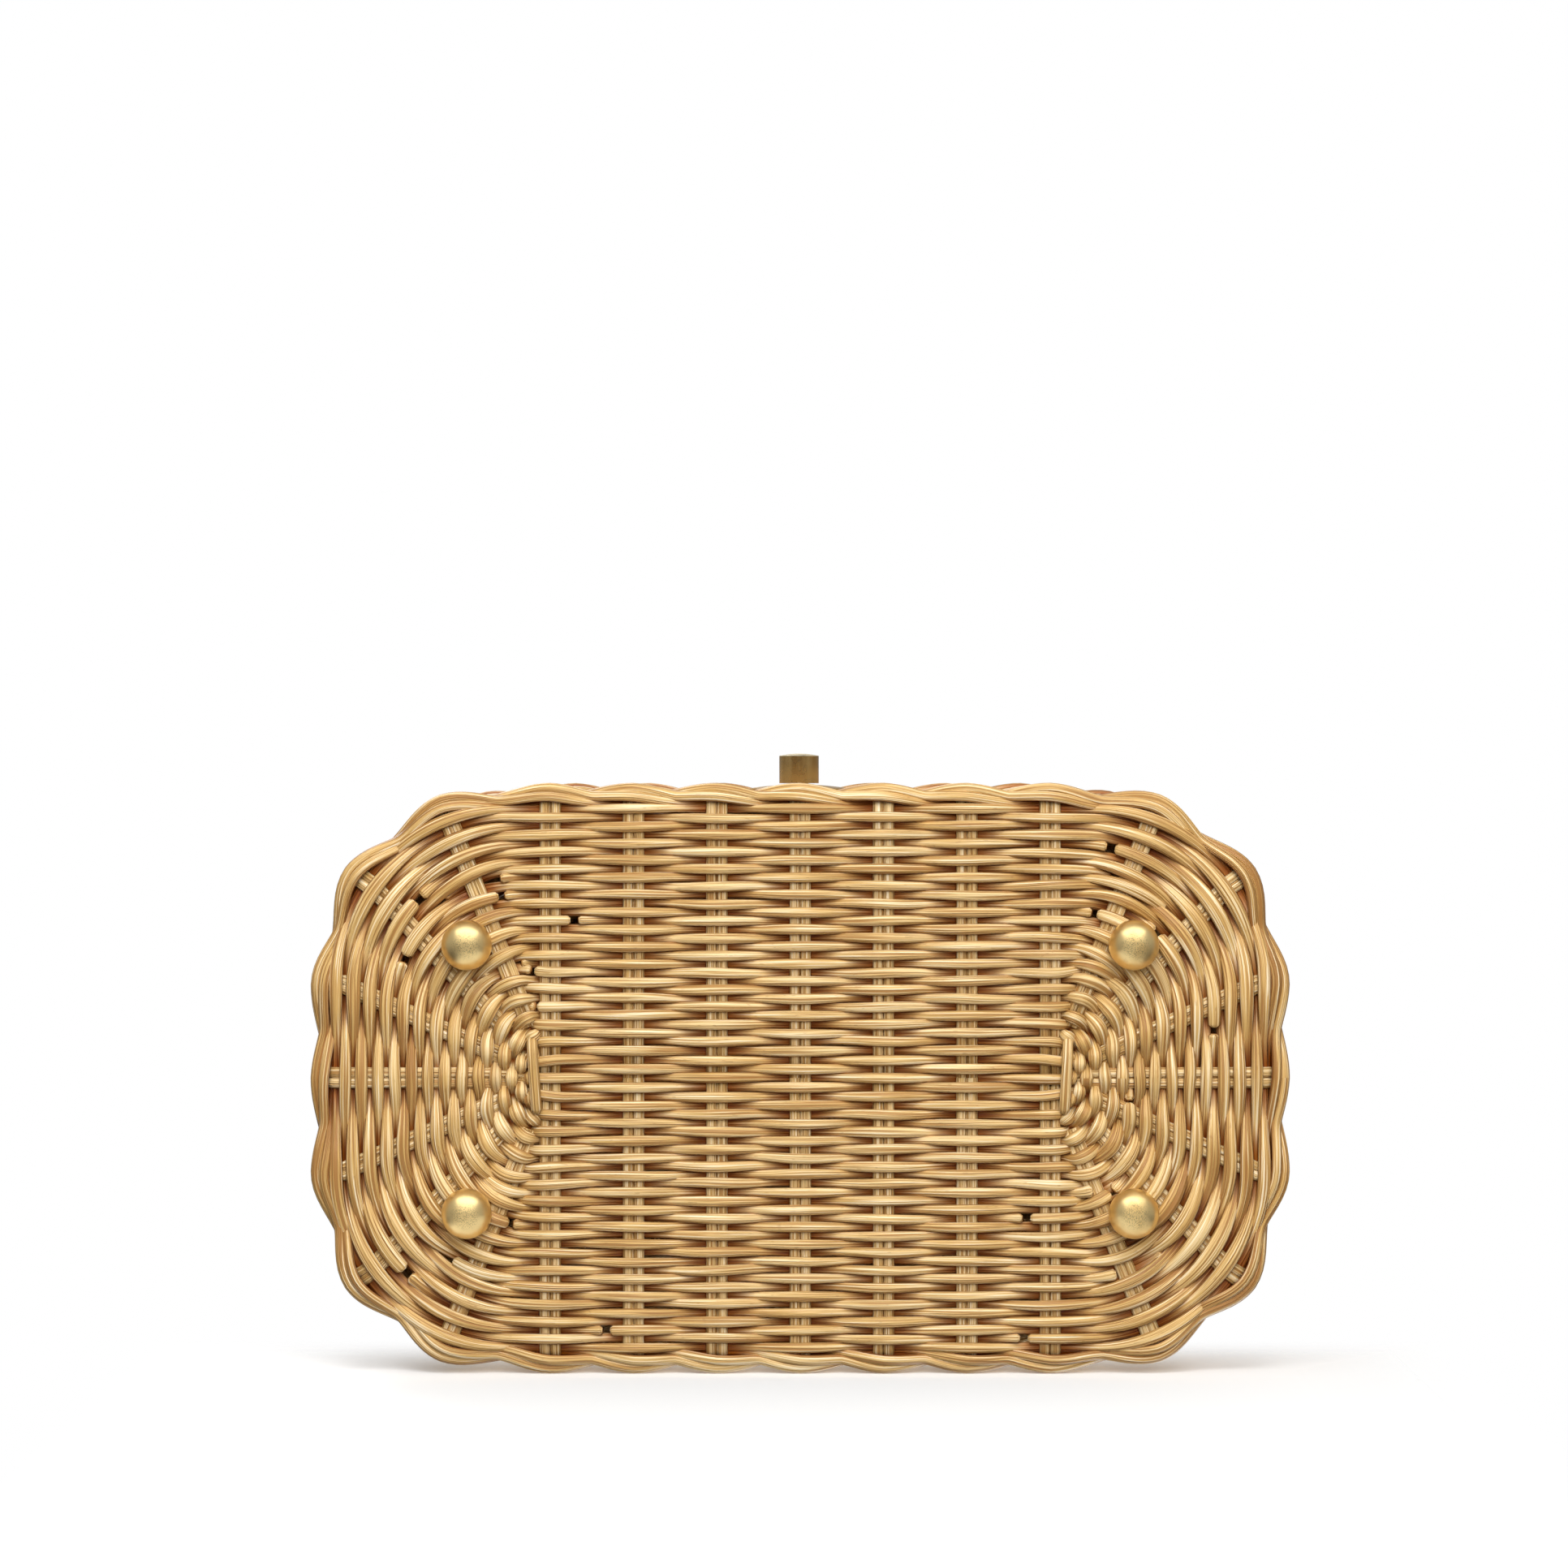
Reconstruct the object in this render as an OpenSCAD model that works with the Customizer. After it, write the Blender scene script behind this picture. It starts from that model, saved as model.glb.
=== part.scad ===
// Rattan vanity case: a woven body and a hinged woven lid on four ball feet,
// closed by a twist knob and carried by a bow handle.
// Millimetres. The front is -Y. The case stands on z = 0, and the origin lies midway between the feet.

/* [Case] */
// Width over the base edge
case_w = 241; // [225:1:260]
// Depth over the base edge
case_d = 145; // [135:1:165]
// Corner radius of the base edge in plan
corner_r = 48; // [44:1:52]
// Height of the seam between body and lid
seam_z = 120; // [105:1:140]
// Height of the lid above the seam
lid_h = 46.5; // [42:0.5:60]

/* [Weave] */
// Thickness of the woven side walls
wall_t = 6.5; // [6:0.1:7]
// Thickness of the woven base and lid top
panel_t = 7; // [6.5:0.1:8]
// Depth from the crest of a strand to the stake behind it
relief = 2.6; // [1.8:0.1:2.8]
// Height of one woven row on the side walls
row_h = 2.25; // [2.1:0.05:3]
// Loops of weaver from the core of a panel to its edge
loops = 26; // [22:1:30]
// Half the width of the core of straight rods in a panel
core_hw = 8; // [7.5:0.1:9]
// Diameter of a core rod
rod_d = 2.1; // [1.9:0.05:2.1]
// Width of the twined edge round a panel
wale_w = 3.6; // [3:0.1:4]
// Setback of the side wall from the panel edge
wall_set = 1.5; // [1:0.1:2]
// Height of the border on each side of the seam
border_h = 6.35; // [5:0.05:8]
// Length of a gap where a short row ends
gap_len = 3.4; // [2:0.1:4]
// Width of that gap
gap_w = 1.1; // [0.6:0.1:1.4]

/* [Feet] */
// Diameter of a ball foot
foot_d = 12.4; // [11:0.1:13]
// Height of the base crest above the floor
foot_h = 9.5; // [8.5:0.1:10]
// Distance from the end of the base to a foot
foot_in_x = 38.5; // [34:0.5:42]
// Distance from the front or back of the base to a foot
foot_in_y = 39.5; // [36:0.5:42]
// Diameter of the foot stud
stud_d = 3; // [2.5:0.1:3.5]

/* [Hinges] */
// Distance from the start of a corner to the middle of a hinge
hinge_in = 31.3; // [25:0.1:36]
// Length of a hinge
hinge_len = 30; // [26:0.5:34]
// Outer radius of a hinge knuckle
knuckle_r = 2.4; // [2.2:0.05:2.8]
// Radius of a hinge pin
pin_r = 1.2; // [1.0:0.05:1.4]
// Thickness of a hinge leaf
leaf_t = 1.2; // [1:0.05:1.5]
// Height of the lower leaf below the hinge axis
lower_leaf = 22; // [20:0.5:26]
// Height of the upper leaf above the hinge axis
upper_leaf = 18; // [16.5:0.5:20]

/* [Lock] */
// Height of the knob axis below the seam
knob_drop = 15; // [14:0.5:17]
// Diameter of the knob
knob_d = 10.5; // [9.5:0.1:12]
// Reach of the knob from the wall crest
knob_reach = 9.7; // [9:0.1:12]
// Diameter of the domed rosette
rosette_d = 27; // [24:0.5:30]
// Height of the rosette dome
rosette_h = 1.5; // [1.2:0.1:1.6]
// Radius of the knob spindle
spindle_r = 2.5; // [2.3:0.05:2.6]
// Half the length of the cam bar
bar_half = 10; // [9:0.5:11]

/* [Handle] */
// Distance from the end of the base to a handle leg
handle_in = 70.5; // [64:0.5:74]
// Height of the grip axis above the lid
handle_h = 40; // [38:0.5:48]
// Diameter of the bent cane
cane_d = 10; // [9:0.1:11]
// Bend radius of the cane
bend_r = 22; // [18:0.5:24]

/* [Clearances] */
// Gap between body border and lid border
seam_gap = 0.3; // [0.2:0.05:0.5]
// Radial running clearance of hinge pins and spindle
run_fit = 0.03; // [0.02:0.01:0.08]
// Radial clearance of screws, studs and rivets in the weave
loose_fit = 0.2; // [0.1:0.05:0.3]
// Gap between wall crest and hinge knuckle
knuckle_gap = 0.25; // [0.2:0.05:0.4]

/* [Hidden] */
$fn = 64;

RATTAN = [0.80, 0.64, 0.42];
CANE = [0.74, 0.56, 0.34];
BRASS = [0.72, 0.56, 0.28];

half_w = case_w / 2;
half_d = case_d / 2;
straight_x = half_w - corner_r;
straight_y = half_d - corner_r;
stake_pitch = 0.284 * straight_x;
core_over = 4;
core_len = 3 * stake_pitch + core_over;
foot_x = half_w - foot_in_x;
foot_y = half_d - foot_in_y;
hinge_x = straight_x - hinge_in;
handle_x = half_w - handle_in;
wall_x = half_w - wall_set;
wall_y = half_d - wall_set;
wall_r = corner_r - wall_set;
inner_y = wall_y - wall_t;
base_z = foot_h;
floor_z = base_z + panel_t;
body_top = seam_z - seam_gap / 2;
lid_bottom = seam_z + seam_gap / 2;
lid_z = seam_z + lid_h;
ceiling_z = lid_z - panel_t;
hinge_y = wall_y + knuckle_gap + knuckle_r;
knob_z = seam_z - knob_drop;
rivet_r = 1.2;
burr_r = 3;
burr_t = 0.8;
bar_t = 2;
bar_w = 6;
plate_t = 1.4;
washer_t = 0.8;
lower_rivet_z = seam_z - lower_leaf + 7;
upper_rivet_z = seam_z + upper_leaf - 6;
strike_rise = 18;
strike_lap = 6;
strike_rivet_z = seam_z + strike_rise;
nut_h = 2.4;
screw_r = 1.5;
screw_bite = 2.6;
screw_head_r = 3.2;
screw_head_h = 2;
handle_washer_r = 7;

// Stake places along the outline
// A panel has 28 stake pairs: seven on each long edge, three on each end and two in each corner.
// s counts stakes from the right end, so each quadrant spans seven.

function arc_len(r, deg) = r * deg * PI / 180;

function stake_len(r, s) = lookup(s, [
    [0, 0],
    [1, 0.94 * straight_y],
    [2, straight_y + arc_len(r, 28.5)],
    [3, straight_y + arc_len(r, 72)],
    [4, straight_y + arc_len(r, 90) + straight_x - 3 * stake_pitch],
    [5, straight_y + arc_len(r, 90) + straight_x - 2 * stake_pitch],
    [6, straight_y + arc_len(r, 90) + straight_x - stake_pitch],
    [7, straight_y + arc_len(r, 90) + straight_x]]);

function corner_pt(r, deg) = [straight_x + r * cos(deg), straight_y + r * sin(deg)];

function quarter_pt(r, len) =
    len < straight_y ? [straight_x + r, len]
    : len < straight_y + arc_len(r, 90) ? corner_pt(r, (len - straight_y) / r * 180 / PI)
    : [straight_x - (len - straight_y - arc_len(r, 90)), straight_y + r];

function fold(s) = s <= 7 ? s : s <= 14 ? 14 - s : s <= 21 ? s - 14 : 28 - s;
function sign_x(s) = s <= 7 || s > 21 ? 1 : -1;
function sign_y(s) = s <= 14 ? 1 : -1;

// Point on the outline that lies inset from the base edge
function outline_pt(inset, s) =
    let (p = quarter_pt(corner_r - inset, stake_len(corner_r - inset, fold(s))))
    [sign_x(s) * p[0], sign_y(s) * p[1]];

// Point on the core of a panel, where the loops begin
function core_pt(s) =
    let (f = fold(s))
    [sign_x(s) * lookup(f, [[0, core_len], [1, core_len - 0.1], [2, core_len - 0.4],
        [3, core_len - 1.3], [4, 3 * stake_pitch], [7, 0]]),
     sign_y(s) * lookup(f, [[0, 0], [1, 0.25 * core_hw], [2, 0.52 * core_hw],
        [3, 0.86 * core_hw], [4, core_hw], [7, core_hw]])];

// Columns of a woven surface: every stake, with more in the corners
quadrant_cols = [0, 1, 1.5, 2, 2.33, 2.67, 3, 3.5, 4, 5, 6];
cols = concat(quadrant_cols, [7],
    [for (i = [10:-1:1]) 14 - quadrant_cols[i]],
    [for (c = quadrant_cols) 14 + c], [21],
    [for (i = [10:-1:1]) 28 - quadrant_cols[i]]);
ncols = len(cols);

// Depth of the surface under the crest: a row runs over one stake and under the next
function dip(s, row) = relief * (0.5 - 0.5 * cos(180 * (s + row)));

// Two triangles to a cell between ring i and ring k. In a woven cell the fold runs along the hollow,
// so that each crest stands as a long lens.
function band(i, k, row) = [for (c = [0:ncols - 1])
    let (d = (c + 1) % ncols, a = i * ncols + c, b = k * ncols + c, e = k * ncols + d, f = i * ncols + d,
        s = cols[c], t = cols[d],
        up = is_undef(row) || dip(s, row) + dip(t, row + 1) > dip(s, row + 1) + dip(t, row))
    for (tri = up ? [[a, b, e], [a, e, f]] : [[a, b, f], [b, e, f]]) tri];

// One flat face over a ring. It starts where the ring turns, so that no three points line up:
// in a corner for the edge of a panel, and at the end of the core.
function cap_up(i) = [for (c = [ncols - 1:-1:0]) i * ncols + (c + 5) % ncols];
function cap_down(i) = [for (c = [0:ncols - 1]) i * ncols + c];

function flat_ring(inset, z) = [for (s = cols) let (p = outline_pt(inset, s)) [p[0], p[1], z]];

// Under a foot the weave is pressed flat to half its relief
function near_foot(x, y) = norm([abs(x) - foot_x, abs(y) - foot_y]) < foot_d;

// Woven panel, crests down at z = 0 and plain upper face at panel_t
module woven_panel(on_feet) {
    edge = wale_w;
    core_z = rod_d + 0.1;
    core_ring = [for (s = cols) let (p = core_pt(s)) [p[0], p[1], core_z]];
    core_lip = [for (s = cols) let (p = core_pt(s)) [p[0], p[1], relief / 2]];
    loop_rings = [for (j = [0:loops - 1], s = cols)
        let (t = (j + 0.5) / loops, a = core_pt(s), b = outline_pt(edge, s),
            x = a[0] + t * (b[0] - a[0]), y = a[1] + t * (b[1] - a[1]))
        [x, y, on_feet && near_foot(x, y) ? foot_seat : dip(s, j)]];
    pts = concat(core_ring, core_lip, loop_rings, flat_ring(edge, relief / 2), flat_ring(edge, panel_t));
    rings = loops + 4;
    faces = concat([cap_down(0)],
        [for (i = [0:rings - 2], f = band(i, i + 1, i > 1 && i < loops + 1 ? i - 2 : undef)) f],
        [cap_up(rings - 1)]);
    polyhedron(points = pts, faces = faces, convexity = 10);
}

// Openings beside the cut ends of short rows, two in each corner
module short_row_gaps() {
    spots = [[0.65, 0.63, 50], [0.48, 0.55, 20]];
    for (sx = [-1, 1], sy = [-1, 1], g = spots)
        translate([sx * g[0] * half_w, sy * g[1] * half_d, panel_t / 2])
            rotate([0, 0, -sx * sy * g[2]])
                cube([gap_len, gap_w, 3 * panel_t], center = true);
}

// Woven side wall from z0 to z1
module woven_wall(z0, z1) {
    rows = round((z1 - z0) / row_h);
    step = (z1 - z0) / rows;
    row_rings = [for (j = [0:rows - 1], s = cols)
        let (p = outline_pt(wall_set + dip(s, j), s)) [p[0], p[1], z0 + (j + 0.5) * step]];
    pts = concat(flat_ring(wall_set + relief / 2, z0), row_rings, flat_ring(wall_set + relief / 2, z1),
        flat_ring(wall_set + wall_t, z1), flat_ring(wall_set + wall_t, z0));
    rings = rows + 4;
    faces = [for (i = [0:rings - 1], f = band(i, (i + 1) % rings, i > 0 && i < rows ? i - 1 : undef)) f];
    polyhedron(points = pts, faces = faces, convexity = 10);
}

// Carry a profile, drawn as inset from the base edge and height, once round the case
module edge_sweep(inset, w) {
    for (sx = [-1, 1], sy = [-1, 1])
        mirror([sx < 0 ? 1 : 0, 0, 0])
            mirror([0, sy < 0 ? 1 : 0, 0])
                translate([straight_x, straight_y, 0])
                    rotate_extrude(angle = 90)
                        translate([corner_r - inset - w, 0])
                            children();
    for (sy = [-1, 1])
        mirror([0, sy < 0 ? 1 : 0, 0])
            translate([-straight_x, straight_y + corner_r - inset - w, 0])
                rotate([90, 0, 90])
                    linear_extrude(height = 2 * straight_x)
                        children();
    for (sx = [-1, 1])
        mirror([sx < 0 ? 1 : 0, 0, 0])
            translate([straight_x + corner_r - inset - w, straight_y, 0])
                rotate([90, 0, 0])
                    linear_extrude(height = 2 * straight_y)
                        children();
}

// Section with its two outer corners rounded
module round_section(w, z0, z1, r) {
    translate([0, z0])
        square([w - r, z1 - z0]);
    translate([0, z0 + r])
        square([w, z1 - z0 - 2 * r]);
    translate([w - r, z0 + r])
        circle(r = r);
    translate([w - r, z1 - r])
        circle(r = r);
}

// Body weave

module base_weave() {
    color(RATTAN)
        difference() {
            translate([0, 0, base_z])
                woven_panel(true);
            translate([0, 0, base_z])
                short_row_gaps();
            for (sx = [-1, 1], sy = [-1, 1])
                translate([sx * foot_x, sy * foot_y, 0])
                    cylinder(r = stud_d / 2 + loose_fit, h = 3 * floor_z, $fn = 12);
        }
}

module core_rods() {
    pitch = 2 * core_hw / 7;
    for (i = [-3:3])
        translate([-3 * stake_pitch, i * pitch, rod_d / 2 + 0.1])
            rotate([0, 90, 0])
                cylinder(r = rod_d / 2, h = 6 * stake_pitch);
    for (sx = [-1, 1])
        translate([sx * (3 * stake_pitch + rod_d / 2 + 0.2), 0.78 * core_hw, rod_d / 2 + 0.1])
            rotate([90, 0, 0])
                cylinder(r = rod_d / 2, h = 1.56 * core_hw);
}

module base_core_rods() {
    color(CANE)
        translate([0, 0, base_z])
            core_rods();
}

module wale(z0, z1) {
    edge_sweep(0, wale_w)
        round_section(wale_w, z0, z1, 1.6);
}

module base_wale() {
    color(RATTAN)
        wale(base_z + 0.6, floor_z);
}

module side_weave() {
    color(RATTAN)
        difference() {
            woven_wall(floor_z, body_top - border_h);
            hinge_rivet_holes(lower_rivet_z);
            translate([0, 0, knob_z])
                rotate([90, 0, 0])
                    cylinder(r = bush_r, h = half_d + 10);
        }
}

module body_border() {
    color(CANE)
        edge_sweep(wall_set, wall_t)
            round_section(wall_t, body_top - border_h, body_top, 1.5);
}

// Feet

foot_r = foot_d / 2;
flat_r = 1;
ball_z = sqrt(foot_r * foot_r - flat_r * flat_r);
foot_seat = relief / 2;
foot_seat_z = base_z + foot_seat;

module foot(sx, sy) {
    color(BRASS)
        translate([sx * foot_x, sy * foot_y, 0]) {
            intersection() {
                translate([0, 0, ball_z])
                    sphere(r = foot_r);
                cylinder(r = foot_d, h = foot_seat_z);
            }
            translate([0, 0, ball_z])
                cylinder(r = stud_d / 2, h = floor_z + washer_t + nut_h + 1 - ball_z);
        }
}

module foot_front_left() {
    foot(-1, -1);
}

module foot_front_right() {
    foot(1, -1);
}

module foot_rear_left() {
    foot(-1, 1);
}

module foot_rear_right() {
    foot(1, 1);
}

module foot_washers() {
    color(BRASS)
        for (sx = [-1, 1], sy = [-1, 1])
            translate([sx * foot_x, sy * foot_y, floor_z])
                difference() {
                    cylinder(r = 6, h = washer_t);
                    translate([0, 0, -1])
                        cylinder(r = stud_d / 2 + loose_fit, h = washer_t + 2);
                }
}

module foot_nuts() {
    color(BRASS)
        for (sx = [-1, 1], sy = [-1, 1])
            translate([sx * foot_x, sy * foot_y, floor_z + washer_t])
                difference() {
                    cylinder(r = stud_d + 0.2, h = nut_h, $fn = 6);
                    translate([0, 0, -1])
                        cylinder(r = stud_d / 2 + run_fit, h = nut_h + 2);
                }
}

// Hinges

knuckle_len = (hinge_len - 0.6) / 3;

module hinge_bar(x0, x1, r) {
    translate([x0, hinge_y, seam_z])
        rotate([0, 90, 0])
            cylinder(r = r, h = x1 - x0);
}

module leaf_holes(side, z) {
    for (k = [-1, 1])
        translate([side * hinge_x + k * 0.32 * hinge_len, wall_y + leaf_t + 1, z])
            rotate([90, 0, 0])
                cylinder(r = rivet_r + 0.05, h = leaf_t + 2);
}

module hinge_rivet_holes(z) {
    for (side = [-1, 1], k = [-1, 1])
        translate([side * hinge_x + k * 0.32 * hinge_len, wall_y + 1, z])
            rotate([90, 0, 0])
                cylinder(r = rivet_r + loose_fit, h = wall_t + 4);
}

module lower_leaf_of(side) {
    x0 = side * hinge_x - hinge_len / 2;
    color(BRASS)
        difference() {
            union() {
                translate([x0, wall_y, seam_z - lower_leaf])
                    cube([hinge_len, leaf_t, lower_leaf - knuckle_r - 0.5]);
                for (e = [0, hinge_len - knuckle_len]) {
                    translate([x0 + e, wall_y, seam_z - knuckle_r - 1])
                        cube([knuckle_len, leaf_t, knuckle_r + 1]);
                    hinge_bar(x0 + e, x0 + e + knuckle_len, knuckle_r);
                }
            }
            hinge_bar(x0 - 1, x0 + hinge_len + 1, pin_r + run_fit);
            leaf_holes(side, lower_rivet_z);
        }
}

module upper_leaf_of(side) {
    x0 = side * hinge_x - hinge_len / 2;
    xk = side * hinge_x - knuckle_len / 2;
    color(BRASS)
        difference() {
            union() {
                translate([x0, wall_y, seam_z + knuckle_r + 0.5])
                    cube([hinge_len, leaf_t, upper_leaf - knuckle_r - 0.5]);
                translate([xk, wall_y, seam_z])
                    cube([knuckle_len, leaf_t, knuckle_r + 1]);
                hinge_bar(xk, xk + knuckle_len, knuckle_r);
            }
            hinge_bar(x0 - 1, x0 + hinge_len + 1, pin_r + run_fit);
            leaf_holes(side, upper_rivet_z);
        }
}

module pin_of(side) {
    x0 = side * hinge_x - hinge_len / 2;
    color(BRASS) {
        hinge_bar(x0 - 0.1, x0 + hinge_len + 0.1, pin_r);
        hinge_bar(x0 - 0.8, x0 - 0.1, pin_r + 0.6);
        hinge_bar(x0 + hinge_len + 0.1, x0 + hinge_len + 0.8, pin_r + 0.6);
    }
}

module hinge_left_lower_leaf() {
    lower_leaf_of(-1);
}

module hinge_right_lower_leaf() {
    lower_leaf_of(1);
}

module hinge_left_upper_leaf() {
    upper_leaf_of(-1);
}

module hinge_right_upper_leaf() {
    upper_leaf_of(1);
}

module hinge_left_pin() {
    pin_of(-1);
}

module hinge_right_pin() {
    pin_of(1);
}

// Rivet along +Z: domed head on z = 0, shank down through grip, upset end below it
module rivet(grip) {
    head_r = 2.2;
    head_h = 0.9;
    dome_r = (head_r * head_r + head_h * head_h) / (2 * head_h);
    intersection() {
        translate([0, 0, head_h - dome_r])
            sphere(r = dome_r);
        cylinder(r = 2 * head_r, h = 2);
    }
    translate([0, 0, -grip])
        cylinder(r = rivet_r, h = grip + 0.2);
    translate([0, 0, -grip - 0.8])
        cylinder(r = rivet_r + 0.6, h = 0.8);
}

module hinge_rivets(z) {
    color(BRASS)
        for (side = [-1, 1], k = [-1, 1])
            translate([side * hinge_x + k * 0.32 * hinge_len, wall_y + leaf_t, z])
                rotate([-90, 0, 0])
                    rivet(leaf_t + wall_t + burr_t);
}

module hinge_burrs(z) {
    color(BRASS)
        for (side = [-1, 1], k = [-1, 1])
            translate([side * hinge_x + k * 0.32 * hinge_len, inner_y, z])
                rotate([90, 0, 0])
                    difference() {
                        cylinder(r = burr_r, h = burr_t);
                        translate([0, 0, -1])
                            cylinder(r = rivet_r + 0.05, h = burr_t + 2);
                    }
}

module hinge_rivets_body() {
    hinge_rivets(lower_rivet_z);
}

module hinge_rivets_lid() {
    hinge_rivets(upper_rivet_z);
}

module hinge_burrs_body() {
    hinge_burrs(lower_rivet_z);
}

module hinge_burrs_lid() {
    hinge_burrs(upper_rivet_z);
}

// Lock
// Its pieces are drawn along +Z, outward from the wall crest, and turned to the front.

bush_r = spindle_r + 1.5;
shoulder = -wall_t - washer_t - 0.2;
spindle_flat = 1.36 * spindle_r;

module on_front() {
    translate([0, -wall_y, knob_z])
        rotate([90, 0, 0])
            children();
}

module lock_rosette() {
    rim = 0.4;
    cap = rosette_h - rim;
    r = rosette_d / 2;
    dome_r = (r * r + cap * cap) / (2 * cap);
    color(BRASS)
        on_front()
            difference() {
                intersection() {
                    translate([0, 0, rosette_h - dome_r])
                        sphere(r = dome_r, $fn = 240);
                    cylinder(r = r, h = 2 * rosette_h);
                }
                translate([0, 0, -1])
                    cylinder(r = spindle_r + loose_fit, h = 4 * rosette_h);
            }
}

module lock_bush() {
    color(BRASS)
        on_front()
            translate([0, 0, -wall_t])
                difference() {
                    cylinder(r = bush_r - 0.05, h = wall_t);
                    translate([0, 0, -1])
                        cylinder(r = spindle_r + run_fit, h = wall_t + 2);
                }
}

module lock_washer() {
    color(BRASS)
        on_front()
            translate([0, 0, -wall_t - washer_t])
                difference() {
                    cylinder(r = bush_r + 0.8, h = washer_t);
                    translate([0, 0, -1])
                        cylinder(r = spindle_r + loose_fit, h = washer_t + 2);
                }
}

module twist_knob() {
    r = knob_d / 2;
    cap = 0.6;
    dome_r = (r * r + cap * cap) / (2 * cap);
    head_z = rosette_h + 0.3;
    color(BRASS)
        on_front() {
            intersection() {
                translate([0, 0, knob_reach - dome_r])
                    sphere(r = dome_r);
                translate([0, 0, head_z])
                    cylinder(r = r, h = knob_reach);
            }
            translate([0, 0, shoulder])
                cylinder(r = spindle_r, h = head_z + 1 - shoulder);
            translate([-spindle_flat / 2, -spindle_flat / 2, shoulder - bar_t])
                cube([spindle_flat, spindle_flat, bar_t + 1]);
            translate([0, 0, shoulder - bar_t - nut_h - 0.6])
                cylinder(r = 1.5, h = nut_h + 1.6);
        }
}

module cam_bar() {
    hole = spindle_flat + 0.1;
    color(BRASS)
        on_front()
            translate([0, 0, shoulder - bar_t])
                difference() {
                    linear_extrude(height = bar_t) {
                        square([bar_w, 2 * bar_half - bar_w], center = true);
                        translate([0, bar_half - bar_w / 2])
                            circle(r = bar_w / 2);
                        translate([0, -bar_half + bar_w / 2])
                            circle(r = bar_w / 2);
                    }
                    translate([-hole / 2, -hole / 2, -1])
                        cube([hole, hole, bar_t + 2]);
                }
}

module cam_nut() {
    color(BRASS)
        on_front()
            translate([0, 0, shoulder - bar_t - nut_h])
                difference() {
                    cylinder(r = 3.2, h = nut_h, $fn = 6);
                    translate([0, 0, -1])
                        cylinder(r = 1.5 + run_fit, h = nut_h + 2);
                }
}

// Strike in the lid: a cranked plate with one leg that reaches down beside the spindle.
// The bar, turned level, lies over the shelf at the foot of the leg and holds the lid down.

leg_in = 4;
leg_x0 = bush_r + 1;
leg_x1 = bar_half + 2;
shelf_z = knob_z - bar_w / 2 - 0.6;

module strike_hook() {
    y0 = -inner_y;
    z_crank = lid_bottom + 3.5;
    z_top = strike_rivet_z + strike_lap;
    shelf_y = y0 - shoulder - wall_t + bar_t - 1.1;
    color(BRASS)
        difference() {
            union() {
                translate([-leg_x1, 0, 0])
                    rotate([90, 0, 90])
                        linear_extrude(height = 2 * leg_x1)
                            polygon([[y0 + leg_in, shelf_z - plate_t],
                                [y0 + leg_in + plate_t, shelf_z - plate_t],
                                [y0 + leg_in + plate_t, z_crank + 0.6],
                                [y0 + plate_t, z_crank + leg_in + 0.6],
                                [y0 + plate_t, z_top],
                                [y0, z_top],
                                [y0, z_crank + leg_in],
                                [y0 + leg_in, z_crank]]);
                translate([-leg_x1, shelf_y, shelf_z - plate_t])
                    cube([2 * leg_x1, y0 + leg_in + plate_t - shelf_y, plate_t]);
            }
            translate([-leg_x0, y0 - 1, shelf_z - plate_t - 1])
                cube([leg_x0 + leg_x1 + 1, leg_in + 10, knob_z + bar_half + 1.5 - shelf_z + plate_t + 1]);
            strike_holes(rivet_r + 0.05);
        }
}

module strike_holes(r) {
    for (k = [-1, 1])
        translate([k * 0.6 * leg_x1, -inner_y + plate_t + 2, strike_rivet_z])
            rotate([90, 0, 0])
                cylinder(r = r, h = wall_t + plate_t + 4);
}

module strike_rivets() {
    color(BRASS)
        for (k = [-1, 1])
            translate([k * 0.6 * leg_x1, -wall_y, strike_rivet_z])
                rotate([90, 0, 0])
                    rivet(wall_t + plate_t);
}

// Lid weave

module lid_border() {
    color(CANE)
        edge_sweep(wall_set, wall_t)
            round_section(wall_t, lid_bottom, lid_bottom + border_h, 1.5);
}

module lid_side_weave() {
    color(RATTAN)
        difference() {
            woven_wall(lid_bottom + border_h, ceiling_z);
            hinge_rivet_holes(upper_rivet_z);
            strike_holes(rivet_r + loose_fit);
        }
}

module lid_flip() {
    translate([0, 0, lid_z])
        mirror([0, 0, 1])
            children();
}

module handle_holes() {
    for (sx = [-1, 1])
        translate([sx * handle_x, 0, -1])
            cylinder(r = screw_r + loose_fit, h = panel_t + 2);
}

module lid_top_weave() {
    color(RATTAN)
        lid_flip()
            difference() {
                woven_panel(false);
                handle_holes();
            }
}

module lid_core_rods() {
    color(CANE)
        lid_flip()
            difference() {
                core_rods();
                handle_holes();
            }
}

module lid_wale() {
    color(RATTAN)
        lid_flip()
            wale(0.6, panel_t);
}

// Handle

cane_r = cane_d / 2;
socket_z = lid_z + 3;
leg_top = lid_z + handle_h - bend_r;
ferrule_h = 14;

module handle_bow() {
    color(CANE) {
        for (sx = [-1, 1]) {
            translate([sx * handle_x, 0, socket_z])
                cylinder(r = cane_r, h = leg_top - socket_z);
            mirror([sx < 0 ? 1 : 0, 0, 0])
                translate([handle_x - bend_r, 0, leg_top])
                    rotate([90, 0, 0])
                        rotate_extrude(angle = 90)
                            translate([bend_r, 0])
                                circle(r = cane_r);
        }
        translate([-handle_x + bend_r, 0, lid_z + handle_h])
            rotate([0, 90, 0])
                cylinder(r = cane_r, h = 2 * (handle_x - bend_r));
    }
}

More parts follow.
